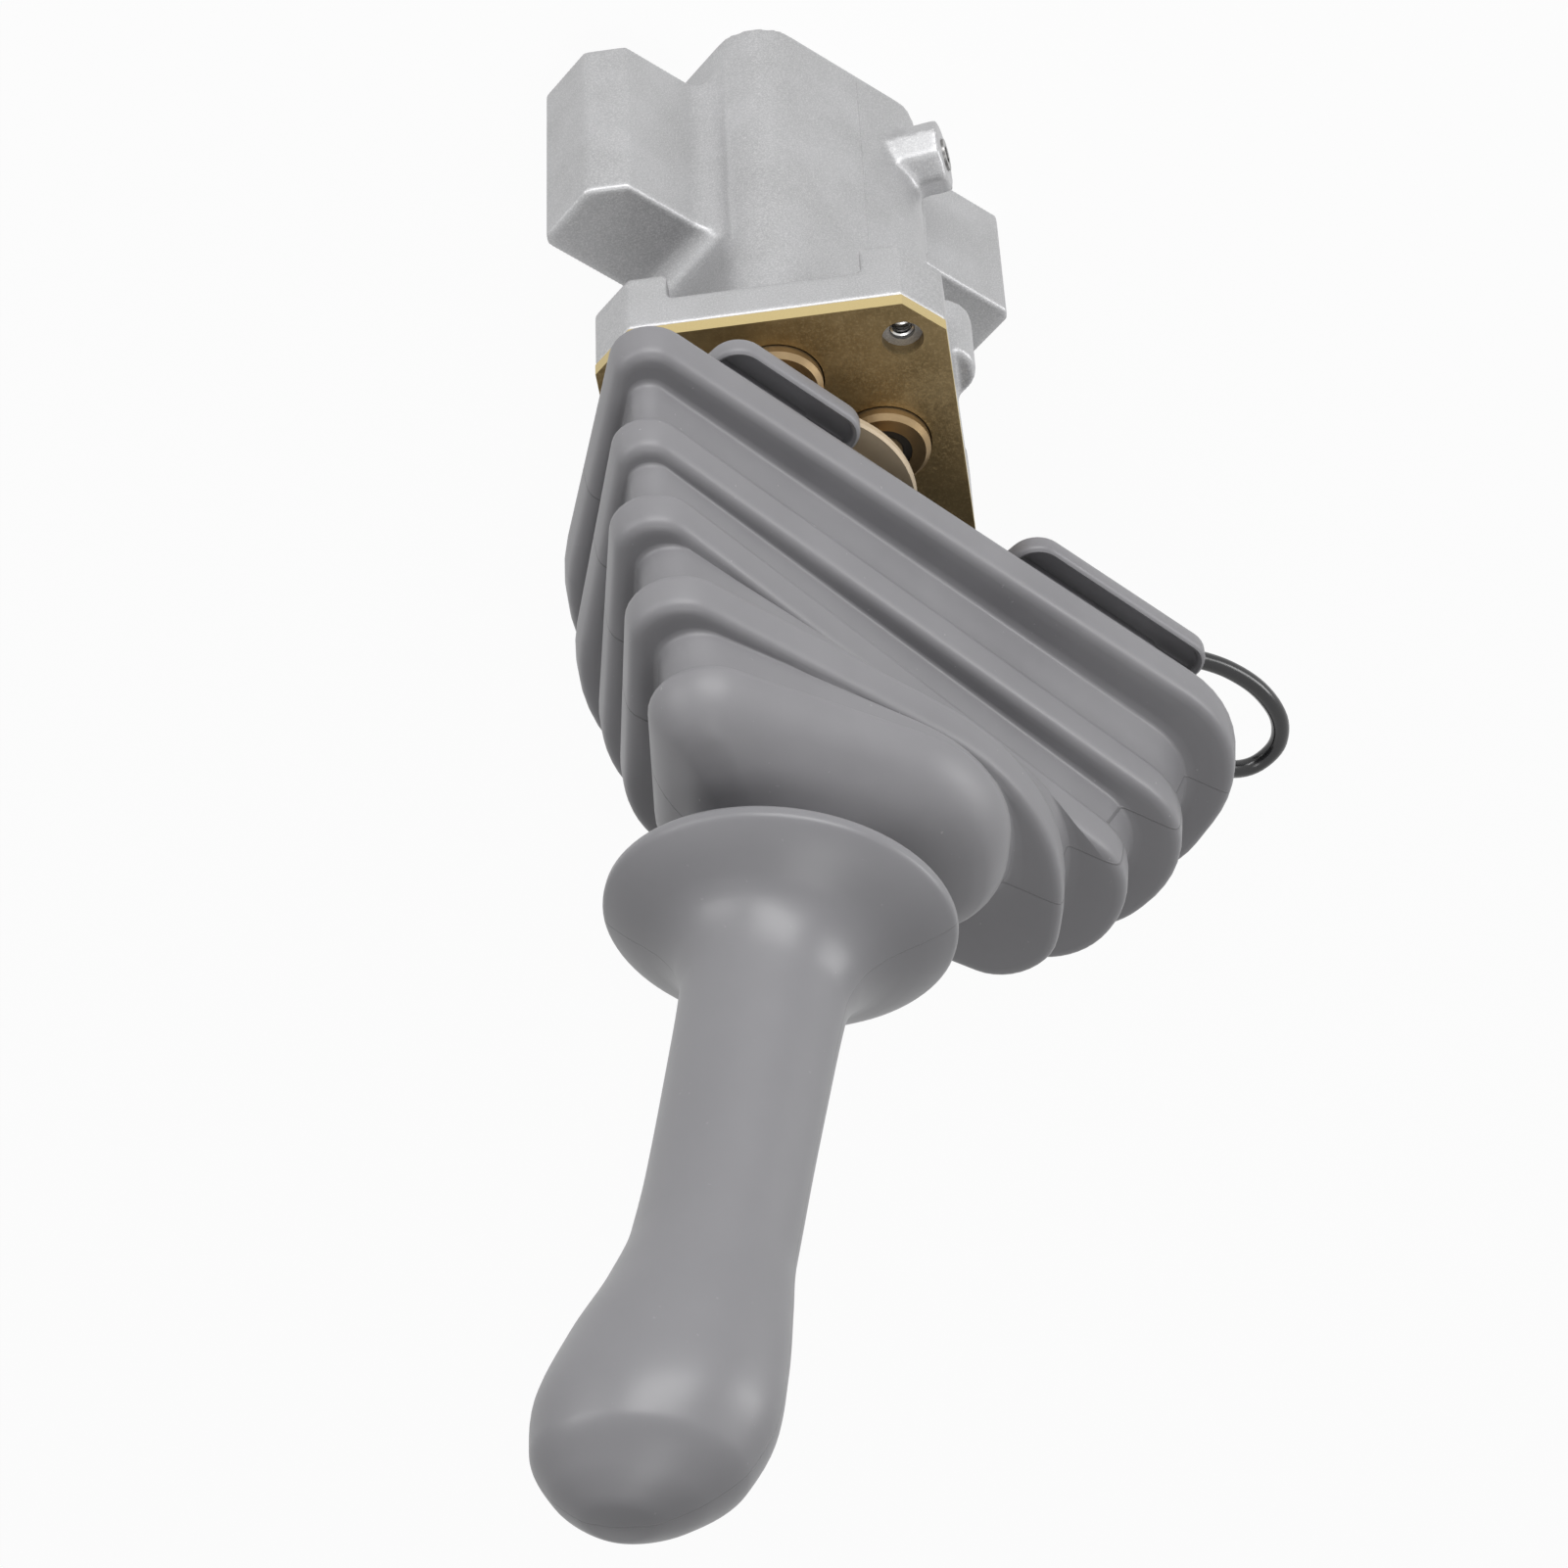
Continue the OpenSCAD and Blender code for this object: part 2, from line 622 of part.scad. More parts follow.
module boot() {
    base_inset = 5;
    foot_drop = 4;
    foot = body_h + boot_rise - foot_drop;
    foot_rings = function (wall) [rim(0, base_inset + wall, foot),
        rim(0, base_inset + wall, foot + foot_drop - 2 + (wall > 0 ? wall : 0))];
    outer = concat(foot_rings(0), [for (i = [0:3]) each fold_rings(i, 0)], dome_rings(0));
    inner = concat(foot_rings(boot_wall), [for (i = [0:3]) each fold_rings(i, boot_wall)],
        dome_rings(boot_wall));
    back = [for (i = [len(inner) - 1:-1:0]) inner[i]];
    color("dimgray") skin(concat(outer, back), closed = true);
}

// ---- lead ----------------------------------------------------------------

// Route of the lead from the lever's outlet out past the boot and back
lead_route = [[-8, 7, 194], [-16, 13, 193], [-27, 22, 187], [-38, 32, 176], [-50, 43, 162],
    [-61, 52, 148], [-70, 58, 138], [-79, 64, 131], [-87, 70, 128], [-95, 76, 127],
    [-102, 84, 127], [-106, 94, 127], [-105, 103, 127], [-99, 108, 128], [-92, 106, 130],
    [-86, 99, 131], [-80, 89, 131], [-73, 79, 133], [-65, 71, 139], [-58, 66, 145],
    [-50, 62, 152]];

module horn_lead() {
    n = len(lead_route);
    color("black") skin([for (i = [0:n - 1])
        let (a = lead_route[max(i - 1, 0)], b = lead_route[min(i + 1, n - 1)])
        tube_ring(lead_route[i], b - a, lead_r, 8)]);
}

module lead_connector() {
    p = lead_route[len(lead_route) - 1];
    color("white") translate(p) rotate([0, 0, -27]) rotate([0, -38, 0])
        translate([seat_gap, -5, -4]) cube([18, 10, 8]);
}

module cable_tie() {
    color("black") translate([0, 0, outlet_z - 14]) difference() {
        union() {
            ring(lever_r + 1.4, lever_r + seat_gap, 3.6);
            translate([lever_r + 0.4, -2.5, -0.7]) cube([5, 5, 5]);
        }
    }
}

// ---- the nodes -----------------------------------------------------------

valve_casting();
retaining_plate();
guide_plugs();
plug_o_rings();
rod_seals();
joint_base();
joint_cross();
joint_yoke();
swash_disc();
disc_lock_nut();
push_rod(FRONT);  // push_rod_front
push_rod(BACK);  // push_rod_back
push_rod(LEFT);  // push_rod_left
push_rod(RIGHT);  // push_rod_right
spring_seat(FRONT);  // spring_seat_front
spring_seat(BACK);  // spring_seat_back
spring_seat(LEFT);  // spring_seat_left
spring_seat(RIGHT);  // spring_seat_right
spool(FRONT);  // spool_front
spool(BACK);  // spool_back
spool(LEFT);  // spool_left
spool(RIGHT);  // spool_right
return_spring(FRONT);  // return_spring_front
return_spring(BACK);  // return_spring_back
return_spring(LEFT);  // return_spring_left
return_spring(RIGHT);  // return_spring_right
metering_spring(FRONT);  // metering_spring_front
metering_spring(BACK);  // metering_spring_back
metering_spring(LEFT);  // metering_spring_left
metering_spring(RIGHT);  // metering_spring_right
gallery_plugs();
lever_rod();
handle_lock_nut();
boot();
grip();
horn_switch();
horn_button();
horn_lead();
lead_connector();
cable_tie();
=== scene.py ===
"""Studio scene of a hydraulic pilot joystick.

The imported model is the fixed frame. The classes below dress its nodes with
their finishes and model again the pieces whose forms need more than plain
solids: casting, boot, grip, lead, springs and threads.
"""

import json
import logging
import math
from dataclasses import dataclass, field
from enum import Enum
from typing import Callable, Sequence

import bmesh
import bpy
import numpy as np
from mathutils import Matrix, Vector

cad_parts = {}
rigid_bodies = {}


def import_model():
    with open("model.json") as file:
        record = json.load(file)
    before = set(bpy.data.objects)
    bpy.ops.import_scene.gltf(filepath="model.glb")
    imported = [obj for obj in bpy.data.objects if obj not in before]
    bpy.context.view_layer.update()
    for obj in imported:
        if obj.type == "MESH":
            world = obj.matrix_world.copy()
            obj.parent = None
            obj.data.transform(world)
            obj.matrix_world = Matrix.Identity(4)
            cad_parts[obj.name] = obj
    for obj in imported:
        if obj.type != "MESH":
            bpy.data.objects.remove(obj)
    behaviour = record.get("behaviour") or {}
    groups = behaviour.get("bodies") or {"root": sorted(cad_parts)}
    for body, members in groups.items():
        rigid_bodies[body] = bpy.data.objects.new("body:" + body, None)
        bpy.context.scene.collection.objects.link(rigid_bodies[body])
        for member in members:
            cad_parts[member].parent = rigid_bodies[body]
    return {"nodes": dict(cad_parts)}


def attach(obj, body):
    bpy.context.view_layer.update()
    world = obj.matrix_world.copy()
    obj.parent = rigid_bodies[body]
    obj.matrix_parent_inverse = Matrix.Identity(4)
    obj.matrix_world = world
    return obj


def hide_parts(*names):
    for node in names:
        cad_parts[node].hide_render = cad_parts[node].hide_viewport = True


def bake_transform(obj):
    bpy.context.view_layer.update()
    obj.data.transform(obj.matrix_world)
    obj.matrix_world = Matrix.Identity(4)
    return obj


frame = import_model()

LOG = logging.getLogger("joystick")
MM = 0.001
UP = Vector((0, 0, 1))

Socket = bpy.types.NodeSocket
Material = bpy.types.Material
Piece = bpy.types.Object


# ---- small helpers --------------------------------------------------------


def unit(v: np.ndarray) -> np.ndarray:
    """Returns a vector of length one along v."""
    return v / np.linalg.norm(v)


def add_object(name: str, data: bpy.types.ID) -> Piece:
    """Makes an object for a mesh, curve, lamp or camera and puts it in the scene."""
    obj = bpy.data.objects.new(name, data)
    bpy.context.scene.collection.objects.link(obj)
    return obj


def new_mesh(name: str, points: Sequence, faces: Sequence, smooth_deg: float = 40) -> Piece:
    """Makes a mesh object at the origin.

    Args:
        name: The piece's name.
        points: Its points in millimetres.
        faces: Its faces, each a list of point numbers.
        smooth_deg: Edges that bend more than this are drawn sharp.

    Returns:
        The new object, with its faces pointing outwards.
    """
    mesh = bpy.data.meshes.new(name)
    mesh.from_pydata([tuple(c * MM for c in p) for p in points], [], [list(f) for f in faces])
    obj = add_object(name, mesh)
    outward(obj)
    shade(obj, smooth_deg)
    return obj


def outward(obj: Piece, merge_mm: float = 0.0) -> None:
    """Merges doubled points, if asked, and turns every face outwards.

    Args:
        obj: The mesh object to mend.
        merge_mm: Points closer than this become one; 0 leaves them.
    """
    bm = bmesh.new()
    bm.from_mesh(obj.data)
    if merge_mm:
        bmesh.ops.remove_doubles(bm, verts=bm.verts, dist=merge_mm * MM)
    bmesh.ops.recalc_face_normals(bm, faces=bm.faces)
    bm.to_mesh(obj.data)
    bm.free()


def shade(obj: Piece, smooth_deg: float) -> None:
    """Shades a mesh smooth, with edges over smooth_deg kept sharp."""
    obj.data.shade_smooth()
    obj.data.set_sharp_from_angle(angle=math.radians(smooth_deg))


def loft(rings: Sequence[np.ndarray], loop: bool = False) -> tuple[np.ndarray, list[list[int]]]:
    """Joins rings of equal count with quads.

    Args:
        rings: The rings, each an array of points.
        loop: Whether the last ring joins the first; otherwise both are capped.

    Returns:
        The points and the faces.
    """
    n, m = len(rings[0]), len(rings)
    faces = []
    for i in range(m if loop else m - 1):
        for j in range(n):
            a, b = i * n + j, i * n + (j + 1) % n
            k = (i + 1) % m
            faces.append([a, b, k * n + (j + 1) % n, k * n + j])
    if not loop:
        faces.append(list(range(n))[::-1])
        faces.append([(m - 1) * n + j for j in range(n)])
    return np.concatenate(rings), faces


def add_to(points: list, faces: list, more: tuple) -> None:
    """Adds a shape's points and faces to lists already begun."""
    start = len(points)
    points.extend([tuple(p) for p in more[0]])
    faces.extend([[start + i for i in f] for f in more[1]])


def coat(obj: Piece, material: Material) -> None:
    """Gives a piece one finish."""
    obj.data.materials.clear()
    obj.data.materials.append(material)


def apply_modifiers(obj: Piece) -> None:
    """Turns an object with modifiers into a plain mesh and removes them."""
    graph = bpy.context.evaluated_depsgraph_get()
    graph.update()
    old = obj.data
    obj.data = bpy.data.meshes.new_from_object(obj.evaluated_get(graph))
    obj.modifiers.clear()
    if old.users == 0:
        bpy.data.meshes.remove(old)


def cylinder_mesh(centre: Vector, axis: Vector, radius: float, length: float,
                  steps: int = 48) -> tuple[np.ndarray, list[list[int]]]:
    """Returns the points and faces, in millimetres, of a capped cylinder.

    Args:
        centre: The middle of its first end.
        axis: Its direction.
        radius: Its radius.
        length: Its length.
        steps: The number of sides.

    Returns:
        The points and the faces.
    """
    turn = axis.normalized().to_track_quat("Z", "Y").to_matrix()
    rings = []
    for z in (0.0, length):
        rings.append(np.array([
            centre + turn @ Vector((radius * math.cos(a), radius * math.sin(a), z))
            for a in np.linspace(0, 2 * math.pi, steps, endpoint=False)]))
    return loft(rings)


def bore(obj: Piece, points: Sequence, faces: Sequence) -> None:
    """Cuts a closed shape, in millimetres, out of a piece."""
    cutter = new_mesh("drill", points, faces)
    cut = obj.modifiers.new("drill", "BOOLEAN")
    cut.operation = "DIFFERENCE"
    cut.solver = "MANIFOLD"
    cut.object = cutter
    apply_modifiers(obj)
    bpy.data.objects.remove(cutter)


# ---- finishes --------------------------------------------------------------


class Graph:
    """A short way to write one material's node tree."""

    def __init__(self, name: str) -> None:
        """Starts an empty material with its output and surface shader."""
        self.material = bpy.data.materials.new(name)
        self.material.use_nodes = True
        self.tree = self.material.node_tree
        self.tree.nodes.clear()
        out = self.tree.nodes.new("ShaderNodeOutputMaterial")
        self.shader = self.tree.nodes.new("ShaderNodeBsdfPrincipled")
        self.tree.links.new(self.shader.outputs[0], out.inputs["Surface"])
        self.coords = self.tree.nodes.new("ShaderNodeTexCoord")

    def node(self, kind: str, values: dict | None = None, **settings: object) -> bpy.types.Node:
        """Adds a node.

        Args:
            kind: The node's type, without its usual first words.
            values: Input values or sockets, by input name or number.
            **settings: Properties of the node itself.

        Returns:
            The new node.
        """
        made = self.tree.nodes.new("ShaderNode" + kind)
        for key, value in settings.items():
            setattr(made, key, value)
        for key, value in (values or {}).items():
            if isinstance(value, Socket):
                self.tree.links.new(value, made.inputs[key])
            else:
                made.inputs[key].default_value = value
        return made

    def place(self) -> Socket:
        """Returns the object coordinates."""
        return self.coords.outputs["Object"]

    def noise(self, scale: float, detail: float = 3, rough: float = 0.5,
              place: Socket | None = None) -> Socket:
        """Returns cloud noise of so many lumps a metre."""
        return self.node("TexNoise", {"Vector": place or self.place(), "Scale": scale,
                                      "Detail": detail, "Roughness": rough}).outputs["Fac"]

    def ramp(self, source: Socket,
             stops: Sequence[tuple[float, tuple]]) -> Socket:
        """Returns the colours that a value runs through."""
        made = self.node("ValToRGB", {"Fac": source})
        band = made.color_ramp
        while len(band.elements) < len(stops):
            band.elements.new(0.5)
        for element, (where, colour) in zip(band.elements, stops):
            element.position = where
            element.color = (*colour, 1)
        return made.outputs["Color"]

    def span(self, source: Socket, low: float, high: float,
             start: float = 0.3, end: float = 0.7) -> Socket:
        """Returns a value carried from start..end to low..high."""
        return self.node("MapRange", {"Value": source, "From Min": start, "From Max": end,
                                      "To Min": low, "To Max": high}).outputs["Result"]

    def blend(self, share: Socket, a: object, b: object) -> Socket:
        """Returns two colours mixed by a share."""
        a, b = ((*value, 1) if isinstance(value, tuple) else value for value in (a, b))
        return self.node("Mix", {0: share, 6: a, 7: b}, data_type="RGBA").outputs[2]

    def bump(self, height: Socket, depth_mm: float, strength: float = 1.0,
             under: Socket | None = None) -> Socket:
        """Returns a surface bent by a height of so many millimetres."""
        values = {"Height": height, "Distance": depth_mm * MM, "Strength": strength}
        if under is not None:
            values["Normal"] = under
        return self.node("Bump", values).outputs["Normal"]

    def math(self, what: str, a: object, b: object = 0.0) -> Socket:
        """Returns one sum of two values."""
        return self.node("Math", {0: a, 1: b}, operation=what).outputs[0]

    def near(self, point_mm: tuple, inner_mm: float, outer_mm: float) -> Socket:
        """Returns 1 within a ball about a point and 0 beyond a larger one."""
        away = self.node("VectorMath", {0: self.place(), 1: [c * MM for c in point_mm]},
                         operation="DISTANCE").outputs["Value"]
        return self.span(away, 1, 0, inner_mm * MM, outer_mm * MM)

    def seam(self, across: tuple, offset_mm: float, width_mm: float) -> Socket:
        """Returns 1 along the line where a plane cuts the surface, and 0 elsewhere."""
        reach = self.node("VectorMath", {0: self.place(), 1: across},
                          operation="DOT_PRODUCT").outputs["Value"]
        away = self.math("ABSOLUTE", self.math("SUBTRACT", reach, offset_mm * MM))
        return self.span(away, 1, 0, 0.25 * width_mm * MM, 0.5 * width_mm * MM)

    def flat_reach(self) -> list[Socket]:
        """Returns how far a point lies from the middle along X and along Y."""
        split = self.node("SeparateXYZ", {0: self.place()})
        return [self.math("ABSOLUTE", split.outputs[name]) for name in ("X", "Y")]

    def turned(self, offset_mm: float) -> Socket:
        """Returns turning lines round the Z axis, or round four axes at an offset from it."""
        x, y = self.flat_reach()
        u = self.math("SUBTRACT", self.math("MAXIMUM", x, y), offset_mm * MM)
        v = self.math("MINIMUM", x, y)
        squares = [self.math("MULTIPLY", side, side) for side in (u, v)]
        r = self.math("SQRT", self.math("ADD", *squares))
        return self.noise(2600, 2, 0.6, self.node("CombineXYZ", {0: r}).outputs[0])

    def link(self, socket: Socket, name: str) -> None:
        """Feeds a socket to an input of the surface shader."""
        self.tree.links.new(socket, self.shader.inputs[name])

    def fix(self, name: str, value: object) -> None:
        """Sets a plain value on an input of the surface shader."""
        self.shader.inputs[name].default_value = value


@dataclass(frozen=True)
class CastMetal:
    """Die-cast aluminium, with a frosted skin and brighter raised edges: edge wear with a painted highlight
    on the near port block and the flange's front.
    """

    name: str = "cast_aluminium"
    light: tuple = (0.43, 0.43, 0.44)
    dark: tuple = (0.355, 0.355, 0.36)
    bright: tuple = (0.90, 0.90, 0.89)
    # Balls where raised edges are painted bright, edge wear with a painted highlight: centre, inner and
    # outer radius in mm, on the near port block's top and the flange's front.
    highlight_spots: tuple = (((32, -47, 71), 16, 24), ((0, -40, 105), 30, 46))

    def material(self) -> Material:
        """Returns the cast metal's material."""
        g = Graph(self.name)
        cloud = g.noise(45, 5, 0.65)
        grain = g.noise(2600, 2, 0.7)
        skin = g.blend(g.span(cloud, 0, 1), self.dark, self.light)
        skin = g.blend(g.span(grain, 0, 0.35, 0.42, 0.75), skin, self.bright)
        edge = g.node("NewGeometry").outputs["Pointiness"]
        # Raised edges inside these balls are painted bright, part edge wear and part painted highlight.
        highlight_zone = g.math("MAXIMUM", *(g.near(*place) for place in self.highlight_spots))
        patchy = g.span(g.noise(420, 4, 0.75), 0, 1, 0.42, 0.62)
        wear_and_highlight = g.math("MULTIPLY", g.math("MULTIPLY", g.span(edge, 0, 1, 0.53, 0.60), patchy), highlight_zone)
        g.link(g.blend(wear_and_highlight, skin, self.bright), "Base Color")
        g.fix("Metallic", 0.7)
        g.link(g.math("SUBTRACT", g.span(grain, 0.40, 0.56), g.math("MULTIPLY", wear_and_highlight, 0.22)), "Roughness")
        g.link(g.bump(grain, 0.06, 0.6, g.bump(g.noise(260, 4, 0.6), 0.12, 0.4)), "Normal")
        return g.material


@dataclass(frozen=True)
class Passivate:
    """Yellow passivated steel, mottled, with fine speckle and turning marks."""

    name: str
    low: tuple
    mid: tuple
    high: tuple
    edge: tuple | None = None
    half_width: float = 40
    corner_cut: float = 9
    skin: float = 0.1
    rough: tuple = (0.36, 0.48)
    speckle: float = 0.35
    rings: float | None = None
    metal: float = 0.85

    def material(self) -> Material:
        """Returns the passivated steel's material."""
        g = Graph(self.name)
        colour = g.ramp(g.noise(30, 4, 0.6), [(0.30, self.low), (0.5, self.mid), (0.72, self.high)])
        speck = g.noise(1700, 2, 0.7)
        colour = g.blend(g.span(speck, 0, self.speckle, 0.48, 0.74), colour, self.high)
        if self.edge:
            colour = g.blend(self.rim(g), colour, self.edge)
        g.link(colour, "Base Color")
        g.fix("Metallic", self.metal)
        g.link(g.span(speck, *self.rough), "Roughness")
        marks = g.bump(speck, 0.015, 0.3)
        if self.rings is not None:
            marks = g.bump(g.turned(self.rings), 0.02, 0.5, marks)
        g.link(marks, "Normal")
        return g.material

    def rim(self, g: Graph) -> Socket:
        """Returns 1 on the plate's outer edge, and 0 elsewhere."""
        x, y = g.flat_reach()
        reach = self.half_width - self.skin
        cut = 2 * self.half_width - self.corner_cut - 1.4 * self.skin
        return g.math("MAXIMUM", g.math("GREATER_THAN", g.math("MAXIMUM", x, y), reach * MM),
                      g.math("GREATER_THAN", g.math("ADD", x, y), cut * MM))


@dataclass(frozen=True)
class BareMetal:
    """Machined or plated metal with fine scratches."""

    name: str
    light: tuple
    dark: tuple
    rough: tuple = (0.18, 0.30)

    def material(self) -> Material:
        """Returns the machined metal's material."""
        g = Graph(self.name)
        lines = g.node("Mapping", {"Vector": g.place(), "Scale": (60, 60, 2600)}).outputs[0]
        mark = g.noise(1, 3, 0.6, lines)
        g.link(g.blend(g.span(mark, 0, 1), self.dark, self.light), "Base Color")
        g.fix("Metallic", 1.0)
        g.link(g.span(mark, *self.rough), "Roughness")
        g.link(g.bump(mark, 0.01, 0.3), "Normal")
        return g.material


@dataclass(frozen=True)
class Moulded:
    """A moulded polymer: grey rubber, grey plastic, vinyl or nylon."""

    name: str
    light: tuple
    dark: tuple
    rough: tuple = (0.40, 0.52)
    grain_mm: float = 0.35
    depth_mm: float = 0.02
    specular: float = 0.5
    dust: float = 0.0
    seam: tuple | None = None
    seam_dark: float = 0.4

    def material(self) -> Material:
        """Returns the polymer's material."""
        g = Graph(self.name)
        cloud = g.noise(30, 4, 0.55)
        colour = g.blend(g.span(cloud, 0, 1), self.dark, self.light)
        if self.dust:
            fleck = g.noise(800, 1, 0.4)
            colour = g.blend(g.span(fleck, 0, self.dust, 0.78, 0.82), colour, (0.50, 0.50, 0.49))
        grain = g.noise(1 / (self.grain_mm * MM), 2, 0.5)
        surface = g.bump(grain, self.depth_mm, 0.4)
        if self.seam:
            line = g.seam(self.seam[:3], self.seam[3], 0.5)
            colour = g.blend(g.math("MULTIPLY", line, self.seam_dark), colour, (0.03, 0.03, 0.03))
            surface = g.bump(line, 0.12, 0.8, surface)
        g.link(colour, "Base Color")
        g.fix("Specular IOR Level", self.specular)
        g.link(g.span(cloud, *self.rough), "Roughness")
        g.link(surface, "Normal")
        return g.material


class Finishes:
    """Every finish of the joystick, made once."""

    def __init__(self) -> None:
        """Makes the materials."""
        self.cast = CastMetal().material()
        self.plate = Passivate(
            "olive_passivate", (0.20, 0.150, 0.068), (0.30, 0.215, 0.100), (0.50, 0.38, 0.20),
            edge=(0.56, 0.45, 0.22), rough=(0.40, 0.58), speckle=0.6).material()
        self.gold = Passivate(
            "gold_passivate", (0.24, 0.165, 0.085), (0.32, 0.225, 0.12), (0.44, 0.32, 0.18),
            speckle=0.1, rings=22, rough=(0.28, 0.38)).material()
        self.disc = Passivate(
            "pale_passivate", (0.46, 0.37, 0.26), (0.54, 0.44, 0.31), (0.62, 0.52, 0.38),
            speckle=0.15, rings=0, rough=(0.34, 0.46), metal=0.35).material()
        self.steel = BareMetal("ground_steel", (0.72, 0.71, 0.69), (0.55, 0.54, 0.53)).material()
        self.zinc = BareMetal("zinc_plate", (0.62, 0.63, 0.66), (0.48, 0.49, 0.52), (0.28, 0.42)).material()
        self.spring = BareMetal("spring_steel", (0.34, 0.33, 0.32), (0.22, 0.22, 0.22),
                                (0.25, 0.4)).material()
        self.enamel = Moulded("black_enamel", (0.030, 0.030, 0.031), (0.020, 0.020, 0.021),
                              (0.30, 0.42), 0.8, 0.02).material()
        self.boot = Moulded("boot_rubber", (0.215, 0.212, 0.222), (0.190, 0.187, 0.197),
                            (0.38, 0.48), 0.30, 0.02, 0.5, 0.3, (0.66, 0.751, 0, 6)).material()
        self.grip = Moulded("grip_plastic", (0.205, 0.203, 0.213), (0.190, 0.188, 0.198),
                            (0.34, 0.42), 0.25, 0.015, 0.5, 0.12, (0, 1, 0, 0), 0.12).material()
        self.seal = Moulded("black_rubber", (0.022, 0.022, 0.022), (0.014, 0.014, 0.014),
                            (0.45, 0.6), 0.3, 0.01).material()
        self.vinyl = Moulded("black_vinyl", (0.016, 0.016, 0.017), (0.010, 0.010, 0.011),
                             (0.16, 0.26), 1.2, 0.03, 0.55).material()
        self.nylon = Moulded("white_nylon", (0.74, 0.73, 0.69), (0.66, 0.65, 0.61),
                             (0.34, 0.46), 0.6, 0.01).material()
        self.button = Moulded("black_plastic", (0.020, 0.020, 0.021), (0.014, 0.014, 0.015),
                              (0.30, 0.42), 0.3, 0.01).material()


def dress(node: str, material: Material) -> None:
    """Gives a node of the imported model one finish."""
    coat(frame["nodes"][node], material)


# ---- repeated wire and thread ----------------------------------------------


class HelixTool:
    """One node tree that winds a helix of wire, for springs and threads."""

    INPUTS = (("Turns", "Float"), ("Radius", "Float"), ("Height", "Float"), ("Wire", "Float"),
              ("Steps", "Int"), ("Sides", "Int"), ("Material", "Material"))

    def __init__(self) -> None:
        """Builds the tree with its named inputs."""
        tree = bpy.data.node_groups.new("helix_wire", "GeometryNodeTree")
        self.tree = tree
        self.ids: dict[str, str] = {}
        for name, kind in self.INPUTS:
            socket = tree.interface.new_socket(name=name, in_out="INPUT", socket_type="NodeSocket" + kind)
            self.ids[name] = socket.identifier
        tree.interface.new_socket(name="Geometry", in_out="OUTPUT", socket_type="NodeSocketGeometry")
        given, spiral, section, wire, real, finish, out = (tree.nodes.new(kind) for kind in (
            "NodeGroupInput", "GeometryNodeCurveSpiral", "GeometryNodeCurvePrimitiveCircle",
            "GeometryNodeCurveToMesh", "GeometryNodeRealizeInstances", "GeometryNodeSetMaterial",
            "NodeGroupOutput"))
        wire.inputs["Fill Caps"].default_value = True
        for source, output, target, name in (
                (given, "Turns", spiral, "Rotations"), (given, "Steps", spiral, "Resolution"),
                (given, "Radius", spiral, "Start Radius"), (given, "Radius", spiral, "End Radius"),
                (given, "Height", spiral, "Height"), (given, "Sides", section, "Resolution"),
                (given, "Wire", section, "Radius"), (spiral, 0, wire, "Curve"),
                (section, 0, wire, "Profile Curve"), (wire, 0, real, 0), (real, 0, finish, "Geometry"),
                (given, "Material", finish, "Material"), (finish, 0, out, 0)):
            tree.links.new(source.outputs[output], target.inputs[name])

    def wind(self, name: str, base: Vector, axis: Vector, turns: float, radius: float, height: float,
             wire: float, material: Material, steps: int, sides: int) -> Piece:
        """Winds one helix and returns it as a plain mesh in its place.

        Args:
            name: The piece's name.
            base: The middle of its first end, in millimetres.
            axis: Its direction.
            turns: Its number of turns.
            radius: The radius of the wire's middle line, in millimetres.
            height: Its length between the ends of that line, in millimetres.
            wire: The wire's radius, in millimetres.
            material: Its finish.
            steps: Points to a turn.
            sides: Sides of the wire.

        Returns:
            The new object.
        """
        carrier = add_object(name, bpy.data.meshes.new(name))
        work = carrier.modifiers.new("helix", "NODES")
        work.node_group = self.tree
        sizes = {"Turns": float(turns), "Radius": radius * MM, "Height": height * MM, "Wire": wire * MM,
                 "Steps": steps, "Sides": sides, "Material": material}
        for key, value in sizes.items():
            work[self.ids[key]] = value
        apply_modifiers(carrier)
        turn = axis.normalized().to_track_quat("Z", "Y").to_matrix().to_4x4()
        carrier.data.transform(Matrix.Translation(base * MM) @ turn)
        if not carrier.data.materials:
            carrier.data.materials.append(material)
        outward(carrier, 0.0005)
        shade(carrier, 50)
        return carrier


# ---- the valve --------------------------------------------------------------


class Side(Enum):
    """The four spool places, by their angle about the valve in degrees."""

    FRONT = -90
    BACK = 90
    LEFT = 180
    RIGHT = 0

    @property
    def label(self) -> str:
        """Returns the word used in the node names."""
        return self.name.lower()

    def at(self, reach: float, z: float) -> Vector:
        """Returns the point at that reach and height on this side."""
        a = math.radians(self.value)
        return Vector((reach * math.cos(a), reach * math.sin(a), z))


@dataclass(frozen=True)
class Thread:
    """One size of internal thread, in millimetres."""

    root_r: float
    crest_r: float
    pitch: float
    length: float
    start: float
    ridge_r: float
    steps: int


@dataclass(frozen=True)
class Coil:
    """One size of spring, by its middle line and its wire, in millimetres."""

    kind: str
    radius: float
    wire_r: float
    turns: float


